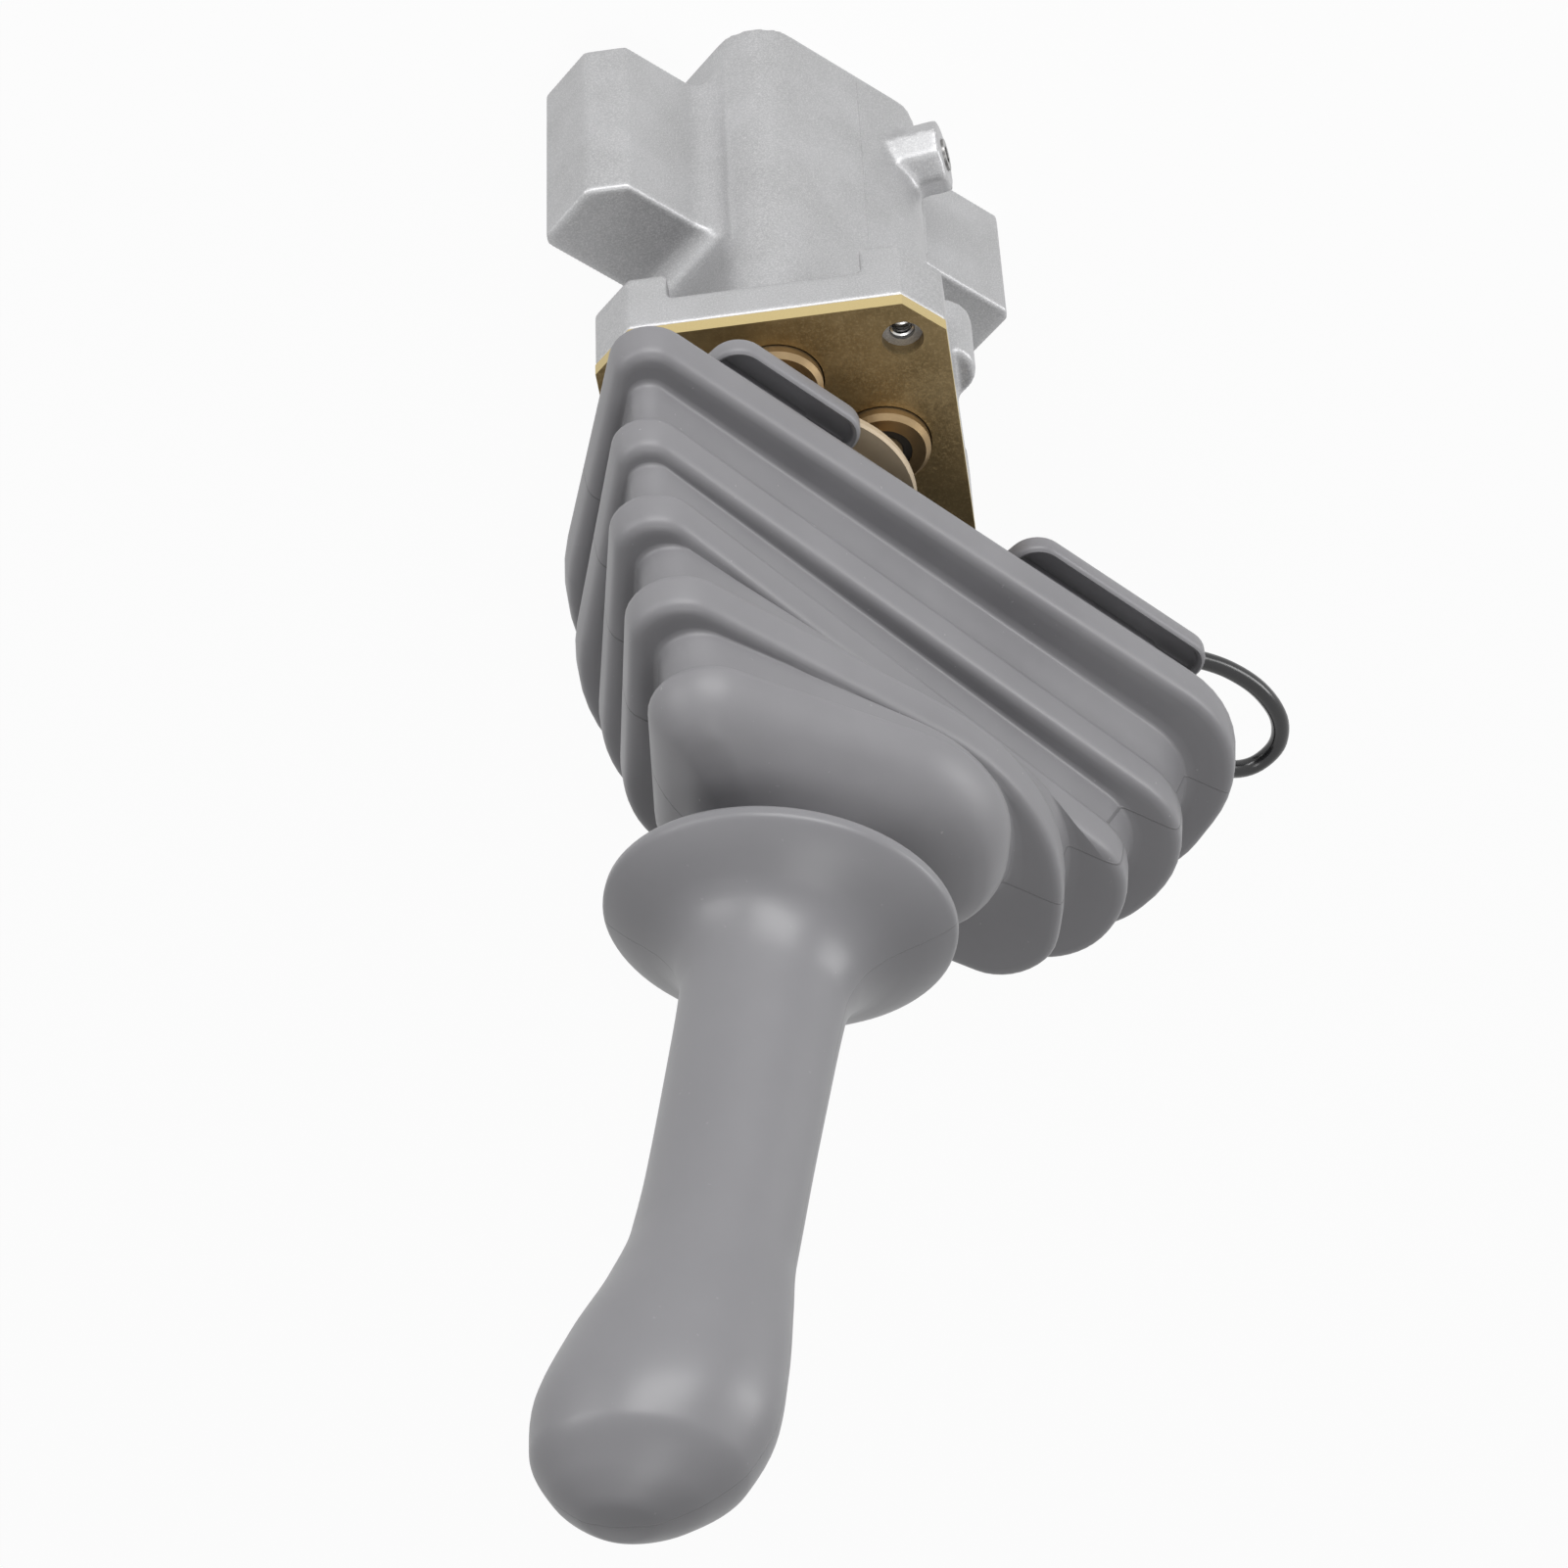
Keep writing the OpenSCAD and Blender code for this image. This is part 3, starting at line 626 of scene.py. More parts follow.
@dataclass
class Valve:
    """The valve body with its plate, plugs, spools and springs."""

    finishes: Finishes
    helix: HelixTool
    body_h: float = 118
    plate_t: float = 3.4
    bolt_spacing: float = 60
    bolt_depth: float = 19
    bolt_thread: Thread = Thread(2.95, 2.5, 1.0, 14.0, 0.6, 0.34, 28)
    port_depth: float = 14
    port_thread: Thread = Thread(6.5, 5.9, 1.337, 11.5, 1.2, 0.45, 36)
    return_coil: Coil = Coil("return", 7.9, 0.9, 6)
    metering_coil: Coil = Coil("metering", 4.0, 0.65, 5)
    spool_offset: float = 22
    cylinder_r: float = 13.6
    flange_w: float = 80
    flange_t: float = 10
    corner_cut: float = 9
    ear_h: float = 8.5
    ear_w: float = 18
    block_start: float = 40
    block_reach: float = 61
    block_tip_cut: float = 2
    block_port_inset: float = 12
    high_block_cut: float = 7
    high_block_half_w: float = 12.5
    high_block_z: float = 20
    high_block_foot: float = 16
    high_block_top: float = 71
    low_block_cut: float = 6
    low_block_half_w: float = 15.5
    low_block_top: float = 38
    root_start: float = 15
    root_end: float = 50
    root_fillet: float = 6.5
    spot_face_r: float = 10
    chamber_z: float = 40
    chamber_r: float = 9.9
    stem_bore_r: float = 4.05
    shoulder_r: float = 12.55
    shoulder_t: float = 4.02
    stud_bore_r: float = 6.05
    stud_depth: float = 22
    gallery_z: float = 21
    gallery_angle: float = 188
    gallery_reach: float = 37.6
    gallery_boss_r: float = 9
    gallery_boss_rim: float = 5.4
    gallery_bore_r: float = 4.02
    lug_inset: float = 3
    lug_y: float = -8
    lug_r: float = 8
    lug_drop: float = 17
    seat_z: float = 80
    spool_top_z: float = 56
    lap: float = 1
    over: float = 2
    voxel: float = 0.75
    softenings: int = 6
    kept_share: float = 0.35

    def build(self) -> list[Piece]:
        """Builds and dresses the valve.

        Returns:
            The new pieces.
        """
        made = [self.casting(), self.parting_line()] + self.threads() + self.springs()
        f = self.finishes
        for node, finish in (("retaining_plate", f.plate), ("guide_plugs", f.gold), ("plug_o_rings", f.seal),
                             ("rod_seals", f.seal), ("gallery_plugs", f.spring), ("joint_base", f.zinc)):
            dress(node, finish)
        for side in Side:
            dress("push_rod_" + side.label, f.gold)
            dress("spring_seat_" + side.label, f.zinc)
            dress("spool_" + side.label, f.steel)
        return made

    def port_places(self) -> list[Vector]:
        """Returns the mouth of each of the six port threads."""
        places = [side.at(self.spool_offset, 0) for side in Side]
        reach = self.block_reach - self.block_port_inset
        for angle, z in ((-45, self.high_block_z), (135, 0)):
            a = math.radians(angle)
            places.append(Vector((reach * math.cos(a), reach * math.sin(a), z)))
        return places

    def bolt_places(self) -> list[Vector]:
        """Returns the top of each of the four fixing threads."""
        h, z = self.bolt_spacing / 2, self.body_h - self.plate_t
        return [Vector((x * h, y * h, z)) for x in (-1, 1) for y in (-1, 1)]

    def casting(self) -> Piece:
        """Models the casting with rounded edges and fillets, then drills it.

        Returns:
            The casting, which stands for its node.
        """
        obj = new_mesh("casting_skin", *self.cast_forms())
        grid = obj.modifiers.new("grid", "REMESH")
        grid.mode = "VOXEL"
        grid.voxel_size = self.voxel * MM
        soft = obj.modifiers.new("soft", "SMOOTH")
        soft.factor = 0.5
        soft.iterations = self.softenings
        thin = obj.modifiers.new("thin", "DECIMATE")
        thin.ratio = self.kept_share
        apply_modifiers(obj)
        for points, faces in self.bores():
            bore(obj, points, faces)
        shade(obj, 50)
        coat(obj, self.finishes.cast)
        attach(obj, "valve")
        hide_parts("valve_casting")
        return obj

    def cast_forms(self) -> tuple[list, list]:
        """Returns the casting's outer forms, which run into one another, in millimetres."""
        top = self.body_h - self.plate_t
        under = top - self.flange_t
        points, faces = [], []

        def solid(plan: Sequence[tuple], low: float, high: float, turn: float = 0) -> None:
            """Adds an upright prism over a plan turned about the valve's axis."""
            a = math.radians(turn)
            spun = [(x * math.cos(a) - y * math.sin(a), x * math.sin(a) + y * math.cos(a)) for x, y in plan]
            add_to(points, faces, loft([np.array([(x, y, z) for x, y in spun]) for z in (low, high)]))

        solid(self.body_plan(), 0, under + self.lap)
        square = self.cut_square(self.flange_w / 2)
        solid(square, under, top)
        inner = self.flange_w / 2 - self.ear_w
        for turn in (0, 90, 180, 270):
            solid([(inner, inner), (square[1][0], inner), square[1], square[2], (inner, square[2][1])],
                  under - self.ear_h, under + self.lap, turn)
        for angle, half_w, cut, low, high in (
                (-45, self.high_block_half_w, self.high_block_cut, self.high_block_foot,
                 self.high_block_top),
                (135, self.low_block_half_w, self.low_block_cut, 0, self.low_block_top)):
            solid(self.block_plan(half_w, cut), low, high, angle)
            add_to(points, faces, loft(self.block_root(angle, half_w, low, high)))
        add_to(points, faces, cylinder_mesh(UP * self.gallery_z, self.gallery_way(), self.gallery_boss_r,
                                            self.gallery_reach + self.gallery_boss_rim, 8))
        lug = Vector((self.lug_inset - self.flange_w / 2, self.lug_y, under - self.lug_drop))
        add_to(points, faces, cylinder_mesh(lug, UP, self.lug_r, self.lug_drop + self.lap))
        return points, faces

    def gallery_way(self) -> Vector:
        """Returns the direction of the cross drilling, outwards."""
        a = math.radians(self.gallery_angle)
        return Vector((math.cos(a), math.sin(a), 0))

    def body_plan(self) -> list[tuple]:
        """Returns the outline round the four cylinders, which flat walls join."""
        plan = []
        for side in (Side.RIGHT, Side.BACK, Side.LEFT, Side.FRONT):
            centre = side.at(self.spool_offset, 0)
            for a in np.radians(np.linspace(side.value - 45, side.value + 45, 16)):
                plan.append((centre.x + self.cylinder_r * math.cos(a),
                             centre.y + self.cylinder_r * math.sin(a)))
        return plan

    def cut_square(self, half: float) -> list[tuple]:
        """Returns the flange's outline, a square with its corners cut."""
        cut = half - self.corner_cut
        return [(half, -cut), (half, cut), (cut, half), (-cut, half), (-half, cut), (-half, -cut),
                (-cut, -half), (cut, -half)]

    def block_plan(self, half_w: float, cut: float) -> list[tuple]:
        """Returns a port block's plan, with one end corner cut wide and the other cut small."""
        start, end, small = self.block_start, self.block_reach, self.block_tip_cut
        return [(start, -half_w), (end - cut, -half_w), (end, cut - half_w), (end, half_w - small),
                (end - small, half_w), (start, half_w)]

    def block_root(self, angle: float, half_w: float, low: float, high: float) -> list[np.ndarray]:
        """Returns the rings of a block's root, which flares in a fillet to the body's flat wall.

        Args:
            angle: The block's direction, in degrees.
            half_w: The block's half width.
            low: The height of its underside.
            high: The height of its top.

        Returns:
            The rings, from inside the body outwards.
        """
        a, r = math.radians(angle), self.root_fillet
        out, across = np.array([math.cos(a), math.sin(a), 0]), np.array([-math.sin(a), math.cos(a), 0])
        wall = self.spool_offset / math.sqrt(2) + self.cylinder_r
        stations = [(self.root_start, r)]
        stations += [(wall + r * (1 - math.cos(t)), r * (1 - math.sin(t)))
                     for t in np.linspace(0, math.pi / 2, 8)]
        stations += [(self.root_end, 0)]
        rings = []
        for reach, grow in stations:
            foot, top, side = max(low - grow, 0), high + grow, half_w + grow
            rings.append(np.array([out * reach + across * x + np.array([0, 0, z]) for x, z in (
                (-side, foot), (side, foot), (side, top), (-side, top))]))
        return rings

    def bores(self) -> list[tuple]:
        """Returns the drills of every bore, each running a little past the face it opens in."""
        top, over = self.body_h - self.plate_t, self.over
        drills = []
        for side in Side:
            foot = side.at(self.spool_offset, 0)
            for start, end, radius, steps in (
                    (top - self.shoulder_t, top + over, self.shoulder_r, 64),
                    (self.chamber_z, top + over, self.chamber_r, 64),
                    (self.port_depth - self.lap, self.chamber_z + over, self.stem_bore_r, 48)):
                drills.append(cylinder_mesh(foot + UP * start, UP, radius, end - start, steps))
        for place in self.port_places():
            drills.append(cylinder_mesh(place - UP * over, UP, self.port_thread.root_r,
                                        self.port_depth + over))
            if place.z > 0:
                face = place.z - self.high_block_foot + over
                drills.append(cylinder_mesh(place - UP * face, UP, self.spot_face_r, face, 64))
        for place in self.bolt_places():
            drills.append(cylinder_mesh(place - UP * self.bolt_depth, UP, self.bolt_thread.root_r,
                                        self.bolt_depth + over, 32))
        drills.append(cylinder_mesh(UP * (top - self.stud_depth), UP, self.stud_bore_r,
                                    self.stud_depth + over, 48))
        way = self.gallery_way()
        drills.append(cylinder_mesh(way * self.gallery_reach + UP * self.gallery_z, way,
                                    self.gallery_bore_r, self.gallery_boss_rim + over, 48))
        return drills

    def parting_line(self) -> Piece:
        """Models the thin ridge that the mould's halves left on the casting's front wall."""
        wall, along, half_w, proud = 29.2, -4.0, 0.3, 0.14
        out, side = Vector((-1, -1, 0)).normalized(), Vector((1, -1, 0)).normalized()
        rings = []
        for z in (3.5, 40.0, 70.0, 101.0):
            rings.append(np.array([out * (wall + rise) + side * (along + across) + UP * z
                                   for across, rise in ((-half_w, -0.6), (half_w, -0.6), (half_w, 0.02),
                                                        (0.1, proud), (-0.1, proud), (-half_w, 0.02))]))
        obj = new_mesh("parting_line", *loft(rings), 60)
        coat(obj, self.finishes.cast)
        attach(obj, "valve")
        return obj

    def threads(self) -> list[Piece]:
        """Winds the thread ridges of the fixing holes and the ports.

        Returns:
            One piece for each threaded hole.
        """
        made = []
        down = Vector((0, 0, -1))
        for kind, places, axis, thread, finish in (
                ("fixing", self.bolt_places(), down, self.bolt_thread, self.finishes.steel),
                ("port", self.port_places(), -down, self.port_thread, self.finishes.cast)):
            for number, place in enumerate(places):
                made.append(self.helix.wind(
                    f"{kind}_thread_{number}", place + axis * thread.start, axis,
                    thread.length / thread.pitch, (thread.root_r + thread.crest_r) / 2, thread.length,
                    thread.ridge_r, finish, thread.steps, 4))
        for ridge in made:
            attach(ridge, "valve")
        return made

    def springs(self) -> list[Piece]:
        """Winds the return and metering springs.

        Returns:
            The eight springs.
        """
        made = []
        for side in Side:
            for coil, low, high in (
                    (self.return_coil, self.chamber_z + 1.0, self.seat_z - 1.0),
                    (self.metering_coil, self.spool_top_z, self.seat_z - 0.75)):
                kind = coil.kind
                spring = self.helix.wind(f"{kind}_coil_{side.label}", side.at(self.spool_offset, low), UP,
                                         coil.turns, coil.radius, high - low, coil.wire_r,
                                         self.finishes.spring, 28, 10)
                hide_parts(f"{kind}_spring_{side.label}")
                tuple(side.at(self.spool_offset, low) * MM)
                tuple(side.at(self.spool_offset, high) * MM)
                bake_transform(spring)
                made.append(spring)
        return made


# ---- lever, disc and grip ----------------------------------------------------


@dataclass
class Lean:
    """The leaning upper part of the lever, in millimetres and degrees."""

    bend_z: float = 225
    angle: float = 10.3

    def matrix(self) -> Matrix:
        """Returns the place of the lean's own axes, Z along the lever."""
        return Matrix.Translation((0, 0, self.bend_z)) @ Matrix.Rotation(math.radians(self.angle), 4, "Y")

    def point(self, x: float, y: float, s: float) -> Vector:
        """Returns the point at x, y and a distance s along the lean."""
        return self.matrix() @ Vector((x, y, s))


@dataclass
class Lever:
    """Universal joint, disc, lever tube and nuts, dressed in place."""

    finishes: Finishes

    def build(self) -> None:
        """Gives each node its finish."""
        f = self.finishes
        for node, finish in (("joint_cross", f.steel), ("joint_yoke", f.zinc), ("swash_disc", f.disc),
                             ("disc_lock_nut", f.zinc), ("lever_rod", f.enamel), ("handle_lock_nut", f.zinc),
                             ("horn_switch", f.button), ("horn_button", f.button), ("cable_tie", f.seal)):
            dress(node, finish)


@dataclass
class Grip:
    """The moulded grip with its skirt, seam and horn hole."""

    finishes: Finishes
    lean: Lean
    skirt_s: float = 38
    length: float = 158
    radius: float = 16.8
    skirt_half_w: float = 37.5
    skirt_half_d: float = 32.5
    button_s: float = 139
    button_r: float = 4.25
    lever_r: float = 7.15
    lever_end_s: float = 121
    pocket_r: float = 6.3
    pocket_end: float = 6
    pocket_l: float = 14
    hole_l: float = 40
    hollow_r: float = 20
    hollow_l: float = 7
    over: float = 1
    steps: int = 96
    stations: list[tuple] = field(init=False)

    def __post_init__(self) -> None:
        """Works out the sections: share of the length, shift, half width, half depth."""
        w, d, r = self.skirt_half_w, self.skirt_half_d, self.radius
        self.stations = [
            (0.000, 0, w - 2.4, d - 2.4), (0.004, 0, w - 0.8, d - 0.8), (0.012, 0, w, d), (0.020, 0, w, d),
            (0.030, 0, w - 1.0, d - 0.9), (0.055, 0, w - 6, d - 5), (0.085, 0, w - 13, d - 11),
            (0.120, 0, r + 3, r + 2), (0.170, 0, r + 0.6, r + 0.2), (0.300, 0, r, r - 0.6),
            (0.480, 0, r - 0.4, r - 0.8), (0.580, 0.3, r - 0.2, r - 0.4), (0.660, 1.2, r + 1.8, r + 0.6),
            (0.750, 3.2, r + 5.0, r + 2.2), (0.840, 5.0, r + 6.8, r + 3.0), (0.910, 6.2, r + 4.6, r + 1.2),
            (0.960, 7.2, r - 1.4, r - 4.0), (0.985, 7.8, r - 7.0, r - 8.4), (0.997, 8.1, 5.5, 4.8),
            (1.000, 8.2, 1.2, 1.0)]

    def build(self) -> Piece:
        """Models the grip and drills its hollows.

        Returns:
            The grip, which stands for its node.
        """
        shares = [s[0] for s in self.stations]
        fine = sorted(set(np.round(np.concatenate([
            np.linspace(0, 0.03, 9), np.linspace(0.03, 0.9, 64), np.linspace(0.9, 1.0, 26)]), 5)))
        rings = []
        for share in fine:
            shift, half_w, half_d = (smooth_through(shares, [s[k] for s in self.stations], share)
                                     for k in (1, 2, 3))
            turns = [2 * math.pi * k / self.steps for k in range(self.steps)]
            rings.append(np.array([(shift + half_w * math.cos(a), half_d * math.sin(a), share * self.length)
                                   for a in turns]))
        points, faces = loft(rings)
        place = self.lean.matrix() @ Matrix.Translation((0, 0, self.skirt_s))
        obj = new_mesh("grip_skin", [place @ Vector(p) for p in points], faces)
        self.drill(obj)
        shade(obj, 38)
        coat(obj, self.finishes.grip)
        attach(obj, "lever")
        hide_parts("grip")
        return obj

    def drill(self, obj: Piece) -> None:
        """Cuts the lever's bore, the switch pocket and the horn hole."""
        along = self.lean.point(0, 0, 1) - self.lean.point(0, 0, 0)
        across = self.lean.point(1, 0, 0) - self.lean.point(0, 0, 0)
        at_button = self.lean.point(0, 0, self.button_s)
        foot = self.lean.point(0, 0, self.skirt_s - self.over)
        for start, axis, radius, length in (
                (foot, along, self.lever_r, self.lever_end_s - self.skirt_s),
                (at_button - across * self.pocket_end, across, self.pocket_r, self.pocket_l),
                (at_button + across * self.pocket_end, across, self.button_r, self.hole_l),
                (foot, along, self.hollow_r, self.hollow_l)):
            bore(obj, *cylinder_mesh(start, axis, radius, length, 64))


def smooth_through(xs: Sequence[float], ys: Sequence[float], x: float) -> float:
    """Returns a smooth curve's value at x, through points, without overshoot.

    Args:
        xs: Where the points are, in rising order.
        ys: The value at each.
        x: Where the value is wanted.

    Returns:
        The value, by a monotone cubic.
    """
    n = len(xs)
    i = max(0, min(n - 2, int(np.searchsorted(xs, x, side="right")) - 1))
    slopes = [(ys[k + 1] - ys[k]) / (xs[k + 1] - xs[k]) for k in range(n - 1)]

    def tangent(k: int) -> float:
        """Returns the curve's slope at one point."""
        if k in (0, n - 1):
            return slopes[min(k, n - 2)]
        a, b = slopes[k - 1], slopes[k]
        return 0.0 if a * b <= 0 else 2 * a * b / (a + b)

    h = xs[i + 1] - xs[i]
    t = (x - xs[i]) / h
    return ((2 * t**3 - 3 * t**2 + 1) * ys[i] + (t**3 - 2 * t**2 + t) * h * tangent(i)
            + (3 * t**2 - 2 * t**3) * ys[i + 1] + (t**3 - t**2) * h * tangent(i + 1))


# ---- boot ---------------------------------------------------------------------


@dataclass
class Boot:
    """The rubber bellows boot, a loft of four-cornered rims round the lever."""

    finishes: Finishes
    lean: Lean
    floor_z: float = 118
    rise: float = 30
    pitch: float = 21.5
    wall: float = 2.4
    foot_inset: float = 5
    foot_drop: float = 4
    arc: int = 12
    edge: int = 10
    corners: tuple = (
        ((27, -76), (-104, 76), (-71, 123), (64, 30)),
        ((28.5, -68.5), (-91, 84), (-57, 112), (59, 28)),
        ((30, -71), (-72, 71), (-50, 100), (49, 20)),
        ((28.5, -64.5), (-60, 23), (-44, 84), (43, 14)),
        ((27, -55.5), (-46, -6), (-36, 43), (34, 10)))
    radii: tuple = ((9, 36, 22, 56), (8, 29, 18, 46), (10, 25, 16, 32), (12, 70, 13, 28), (13, 34, 18, 22))
    neck_top: float = 257.4
    bore_r: float = 7.35
    least_r: float = 2.5

    # Profile of one fold, from its rim up over the ridge and the flat top to the
    # upright wall behind: share of the way to the next rim, inset, height
    FOLD = ((0.00, 1.2, -0.1), (0.00, 0.3, 0.0), (0.00, 0.0, 0.3), (0.00, 0.05, 1.2), (0.00, 0.3, 3.6),
            (0.00, 0.65, 6.0), (0.00, 1.0, 7.2), (0.005, 1.5, 8.0), (0.015, 2.2, 8.5), (0.04, 3.0, 8.75),
            (0.20, 3.5, 8.9), (0.42, 3.9, 8.95), (0.56, 4.1, 9.1), (0.60, 4.2, 9.5), (0.615, 4.25, 10.2),
            (0.65, 4.4, 12.2), (0.70, 4.7, 15.6), (0.75, 5.0, 19.2), (0.76, 4.9, 19.9), (0.80, 4.4, 20.5),
            (0.92, 2.6, 21.1))
    INNER = ((0.00, 0.0, 1.9), (0.00, 0.7, 6.0), (0.02, 1.6, 6.9), (0.42, 2.9, 7.2), (0.60, 2.7, 8.2),
             (0.68, 3.2, 14.0), (0.75, 4.0, 21.2), (0.90, 2.8, 22.6))

    def level(self, t: float) -> tuple[np.ndarray, np.ndarray]:
        """Returns the corners and radii at a level, which may lie between two rims."""
        i = min(int(t), len(self.corners) - 2)
        share = t - i
        pair = [np.array(self.corners[k], float) for k in (i, i + 1)]
        bend = [np.array(self.radii[k], float) for k in (i, i + 1)]
        return pair[0] * (1 - share) + pair[1] * share, bend[0] * (1 - share) + bend[1] * share

    def rim(self, t: float, inset: float, z: float) -> np.ndarray:
        """Returns one ring: a rounded quadrilateral pulled in by an inset.

        Args:
            t: Its level, 0 for the lowest rim and 4 for the dome's.
            inset: How far it lies inside the rim.
            z: Its height.

        Returns:
            The ring's points.
        """
        corners, radii = self.level(t)
        arcs = []
        for i in range(4):
            p = corners[i]
            a, b = unit(corners[i - 1] - p), unit(corners[(i + 1) % 4] - p)
            half = math.acos(float(a @ b)) / 2
            r = max(radii[i] - inset, self.least_r)
            centre = p + unit(a + b) * ((r + inset) / math.sin(half))
            s = 1 if a[0] * b[1] - a[1] * b[0] > 0 else -1
            start = math.atan2(-s * a[0], s * a[1])
            sweep = -s * (math.pi - 2 * half)
            arcs.append([centre + r * np.array([math.cos(start + sweep * k / (self.arc - 1)),
                                                math.sin(start + sweep * k / (self.arc - 1))])
                         for k in range(self.arc)])
        ring = []
        for i in range(4):
            ring.extend(arcs[i])
            first, last = arcs[i][-1], arcs[(i + 1) % 4][0]
            ring.extend(first + (last - first) * (k + 1) / (self.edge + 1) for k in range(self.edge))
        return np.array([(p[0], p[1], z) for p in ring])

    def neck(self, share: float, inset: float, radius: float, z: float) -> np.ndarray:
        """Returns a ring between the dome's rim and a circle round the lever."""
        outer = self.rim(4, inset, z)
        x = max(z - self.lean.bend_z, 0) * math.tan(math.radians(self.lean.angle))
        centre = np.array([x, 0, z])
        circle = np.array([centre + radius * unit(p - centre) for p in outer])
        return outer * (1 - share) + circle * share

    def skin(self, wall: float) -> list[np.ndarray]:
        """Returns the rings of the outer skin, or of the inner one for a wall.

        Args:
            wall: The wall's thickness for the inner skin, or 0 for the outer.

        Returns:
            The rings, from the foot to the neck.
        """
        foot = self.floor_z + self.rise - self.foot_drop
        rings = [self.rim(0, self.foot_inset + wall, z) for z in (foot, foot + 2 + wall)]
        for i in range(4):
            base = self.floor_z + self.rise + i * self.pitch
            for share, inset, up in (self.INNER if wall else self.FOLD):
                rings.append(self.rim(i + share, inset + wall, base + up))
        top = self.floor_z + self.rise + 4 * self.pitch
        shoulder = ((1.2, -0.1), (0.3, 0.0), (0, 0.3), (0.1, 1.4), (0.5, 3.2))
        for inset, up in (((0, 1.9), (1.0, 4.5)) if wall else shoulder):
            rings.append(self.rim(4, inset + wall, top + up))
        for inset, up in ((1.3, 5.4), (2.5, 7.7), (4.2, 10.0), (6.2, 11.9)):
            rings.append(self.rim(4, inset + wall, top + up - 0.3 * wall))
        for share, radius, up in ((0.15, 17, 13.4), (0.35, 17, 15.1), (0.58, 17, 16.8), (0.80, 17, 18.4),
                                  (0.94, 16.5, 19.5), (1.0, 14, 20.2)):
            rings.append(self.neck(share, 6.2 + wall, radius - wall, top + up - 0.8 * wall))
        tight = self.bore_r + (0 if wall else self.wall)
        for grow, z in ((1.0, top + 21.0 - 0.8 * wall), (0.0, top + 22.0 - 0.8 * wall),
                        (0.0, self.neck_top)):
            rings.append(self.neck(1.0, 6, tight + grow, z))
        return rings

    def build(self) -> Piece:
        """Models the boot.

        Returns:
            The boot, which stands for its node.
        """
        rings = self.skin(0) + self.skin(self.wall)[::-1]
        obj = new_mesh("boot_skin", *loft(rings, loop=True), 60)
        coat(obj, self.finishes.boot)
        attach(obj, "lever")
        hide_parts("boot")
        for number, (start, end) in enumerate(((-44, -3), (47, 106))):
            self.tongue(f"boot_tongue_{number}", start, end)
        return obj

    def tongue(self, name: str, start: float, end: float) -> None:
        """Models one clip tongue under the near side, a tray with an upturned rim.

        Args:
            name: The piece's name.
            start: Where it starts along the near side, in millimetres.
            end: Where it ends.
        """
        near, far, corner, z = 21.0, 30.8, 7.0, self.floor_z + 17.5
        out = Vector((-0.757, -0.653, 0))
        along = Vector((-0.653, 0.757, 0))

        def placed(plan: Sequence[tuple], up: float) -> np.ndarray:
            """Returns a plan, across and along the near side, at its height."""
            return np.array([out * u + along * v + UP * (z + up) for u, v in plan])

        def ring(inset: float, up: float) -> np.ndarray:
            """Returns the tray's outline pulled in by an inset, with its outer corners rounded."""
            r = corner - inset
            bend = np.linspace(0, math.pi / 2, 10)
            plan = [(near + inset, start + inset)]
            plan += [(far - corner + r * math.sin(a), start + corner - r * math.cos(a)) for a in bend]
            plan += [(far - corner + r * math.cos(a), end - corner + r * math.sin(a)) for a in bend]
            plan += [(near + inset, end - inset)]
            return placed(plan, up)

        points, faces = [], []
        add_to(points, faces, loft([ring(inset, up) for inset, up in (
            (1.0, 0), (0.2, 0.3), (0, 0.9), (0, 3.4), (0.3, 4.2), (0.9, 4.6), (1.5, 4.3), (1.9, 3.6),
            (2.1, 2.4), (2.6, 2.0))]))
        stalk = [(22.2, start + 2), (23.9, start + 2), (23.9, end - 14), (22.2, end - 14)]
        add_to(points, faces, loft([placed(stalk, up) for up in (1.0, 10.5)]))
        obj = new_mesh(name, points, faces, 50)
        coat(obj, self.finishes.boot)
        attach(obj, "lever")


# ---- lead -----------------------------------------------------------------------


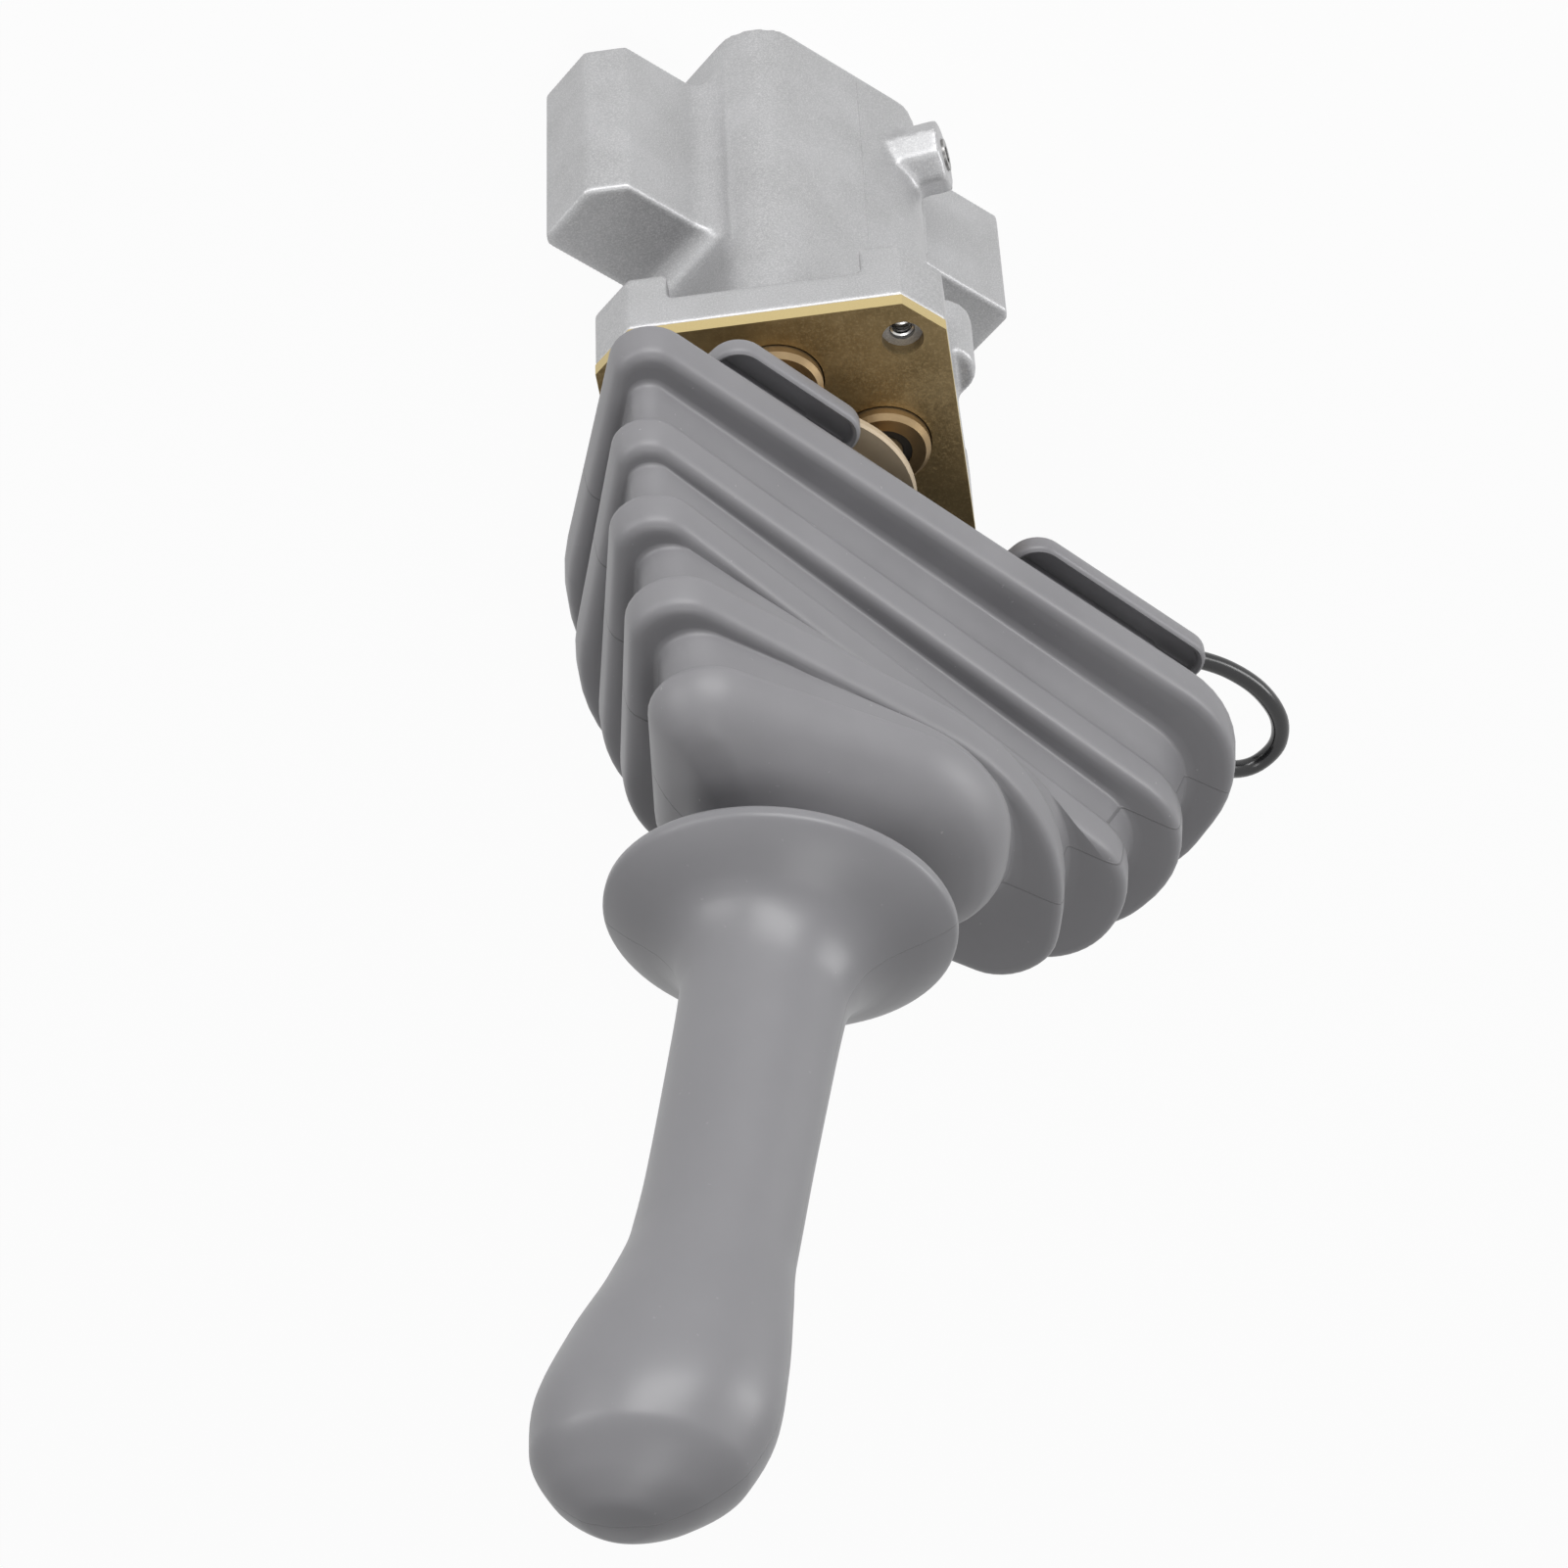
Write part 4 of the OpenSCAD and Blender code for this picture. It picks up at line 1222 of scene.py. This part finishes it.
@dataclass
class Lead:
    """The horn's lead, from the lever's outlet round to its connector."""

    finishes: Finishes
    radius: float = 2.2
    parts: int = 6
    route: tuple = (
        (-8, 7, 194), (-16, 13, 193), (-27, 22, 187), (-38, 32, 176), (-50, 43, 162), (-61, 52, 148),
        (-70, 58, 138), (-79, 64, 131), (-87, 70, 128), (-95, 76, 127), (-102, 84, 127), (-106, 94, 127),
        (-105, 103, 127), (-99, 108, 128), (-92, 106, 130), (-86, 99, 131), (-80, 89, 131), (-73, 79, 133),
        (-65, 71, 139), (-58, 66, 145), (-50, 62, 152))

    def build(self) -> Piece:
        """Models the lead on one smooth curve.

        Returns:
            The lead, which stands for its node.
        """
        data = bpy.data.curves.new("lead_flex", "CURVE")
        data.dimensions = "3D"
        data.bevel_depth = self.radius * MM
        data.bevel_resolution = 5
        data.use_fill_caps = True
        fine = self.smooth_route()
        line = data.splines.new("POLY")
        line.points.add(len(fine) - 1)
        for point, at in zip(line.points, fine):
            point.co = (*(at * MM), 1)
        obj = add_object("lead_flex", data)
        data.materials.append(self.finishes.vinyl)
        dress("lead_connector", self.finishes.nylon)
        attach(obj, "lever")
        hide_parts("horn_lead")
        return obj

    def smooth_route(self) -> list[np.ndarray]:
        """Returns the route with more points between its own, on a smooth curve."""
        p = [np.array(q, float) for q in self.route]
        p = [2 * p[0] - p[1]] + p + [2 * p[-1] - p[-2]]
        fine = []
        for i in range(1, len(p) - 2):
            for k in range(self.parts):
                t = k / self.parts
                fine.append(0.5 * (2 * p[i] + (p[i + 1] - p[i - 1]) * t
                                   + (2 * p[i - 1] - 5 * p[i] + 4 * p[i + 1] - p[i + 2]) * t**2
                                   + (3 * p[i] - p[i - 1] - 3 * p[i + 1] + p[i + 2]) * t**3))
        fine.append(p[-2])
        return fine


# ---- studio -----------------------------------------------------------------------


@dataclass
class Studio:
    """Camera, floor, background and lamps."""

    focal_mm: float = 109.6
    eye: tuple = (-0.0668, -0.7132, 0.9544)
    forward: tuple = (0.0702, 0.6975, -0.7132)
    right: tuple = (-0.990, 0.1357, 0.0353)
    world_light: float = 0.24
    floor_half: float = 4000
    floor_grey: float = 0.86
    floor_white: float = 0.95
    aim: tuple = (0, 0, 0.2)

    def build(self) -> None:
        """Sets up the studio."""
        self.camera()
        self.world()
        self.floor()
        self.lamp("key", (-0.25, -1.30, 0.20), (1.2, 0.36), 13.0)
        self.lamp("side", (-1.25, -0.10, 0.20), (0.8, 0.36), 6.0)
        self.lamp("fill", (0.95, -0.90, 0.20), (0.8, 0.36), 4.0)
        self.lamp("top", (-0.1, -0.6, 1.6), (0.6, 0.6), 4.0)

    def camera(self) -> None:
        """Places the camera."""
        data = bpy.data.cameras.new("camera")
        data.lens = self.focal_mm
        data.sensor_width = 36
        data.clip_start, data.clip_end = 0.05, 20
        ahead = Vector(self.forward).normalized()
        right = (Vector(self.right) - Vector(self.right).dot(ahead) * ahead).normalized()
        up = right.cross(ahead)
        turn = Matrix((right, up, -ahead)).transposed().to_4x4()
        obj = add_object("camera", data)
        obj.matrix_world = Matrix.Translation(self.eye) @ turn
        bpy.context.scene.camera = obj

    @staticmethod
    def seen(tree: bpy.types.NodeTree) -> Socket:
        """Returns 1 for camera, glossy and transmission rays in a tree, and 0 for others."""
        path = tree.nodes.new("ShaderNodeLightPath")
        total = path.outputs["Is Camera Ray"]
        for name in ("Is Glossy Ray", "Is Transmission Ray"):
            most = tree.nodes.new("ShaderNodeMath")
            most.operation = "MAXIMUM"
            tree.links.new(total, most.inputs[0])
            tree.links.new(path.outputs[name], most.inputs[1])
            total = most.outputs[0]
        return total

    @staticmethod
    def join(tree: bpy.types.NodeTree, share: Socket, pair: tuple, output: str) -> None:
        """Mixes a pair of shaders by a share and gives them to the tree's output."""
        both, out = tree.nodes.new("ShaderNodeMixShader"), tree.nodes.new("ShaderNodeOutput" + output)
        tree.links.new(share, both.inputs[0])
        for number, shader in enumerate(pair, 1):
            tree.links.new(shader.outputs[0], both.inputs[number])
        tree.links.new(both.outputs[0], out.inputs[0])

    def world(self) -> None:
        """Makes the white background and its soft light."""
        world = bpy.data.worlds.new("studio")
        bpy.context.scene.world = world
        world.use_nodes = True
        tree = world.node_tree
        tree.nodes.clear()
        shown, light = tree.nodes.new("ShaderNodeBackground"), tree.nodes.new("ShaderNodeBackground")
        shown.inputs["Color"].default_value = (1, 1, 1, 1)
        light.inputs["Color"].default_value = (1, 1, 1, 1)
        light.inputs["Strength"].default_value = self.world_light
        self.join(tree, self.seen(tree), (light, shown), "World")

    def floor(self) -> None:
        """Lays the pale floor, which keeps the object's shadow."""
        half = self.floor_half
        obj = new_mesh("floor", [(-half, -half, 0), (half, -half, 0), (half, half, 0), (-half, half, 0)],
                       [[0, 1, 2, 3]])
        material = bpy.data.materials.new("pale_floor")
        material.use_nodes = True
        tree = material.node_tree
        tree.nodes.clear()
        matt, white = tree.nodes.new("ShaderNodeBsdfDiffuse"), tree.nodes.new("ShaderNodeEmission")
        matt.inputs["Color"].default_value = (self.floor_grey,) * 3 + (1,)
        white.inputs["Strength"].default_value = 1
        share = tree.nodes.new("ShaderNodeMath")
        share.operation = "MULTIPLY"
        share.inputs[1].default_value = self.floor_white
        tree.links.new(self.seen(tree), share.inputs[0])
        self.join(tree, share.outputs[0], (matt, white), "Material")
        obj.data.materials.append(material)

    def lamp(self, name: str, place: tuple, size: tuple, power: float) -> None:
        """Hangs one soft lamp, so wide and high, and points it at the object."""
        data = bpy.data.lights.new(name, "AREA")
        data.shape = "RECTANGLE"
        data.size, data.size_y = size
        data.energy = power
        way = Vector(self.aim) - Vector(place)
        turn = way.to_track_quat("-Z", "Y").to_matrix().to_4x4()
        add_object(name, data).matrix_world = Matrix.Translation(place) @ turn


def main() -> None:
    """Builds the scene, sub-assembly by sub-assembly."""
    logging.basicConfig(level=logging.INFO, format="%(name)s: %(message)s")
    bpy.context.scene.view_settings.view_transform = "Standard"
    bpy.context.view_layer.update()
    Studio().build()
    finishes = Finishes()
    lean = Lean()
    steps: list[tuple[str, Callable[[], object]]] = [
        ("lead", Lead(finishes).build),
        ("valve", Valve(finishes, HelixTool()).build),
        ("lever", Lever(finishes).build),
        ("grip", Grip(finishes, lean).build),
        ("boot", Boot(finishes, lean).build)]
    for name, build in steps:
        build()
        LOG.info("%s is built", name)


if __name__ == "__main__":
    main()
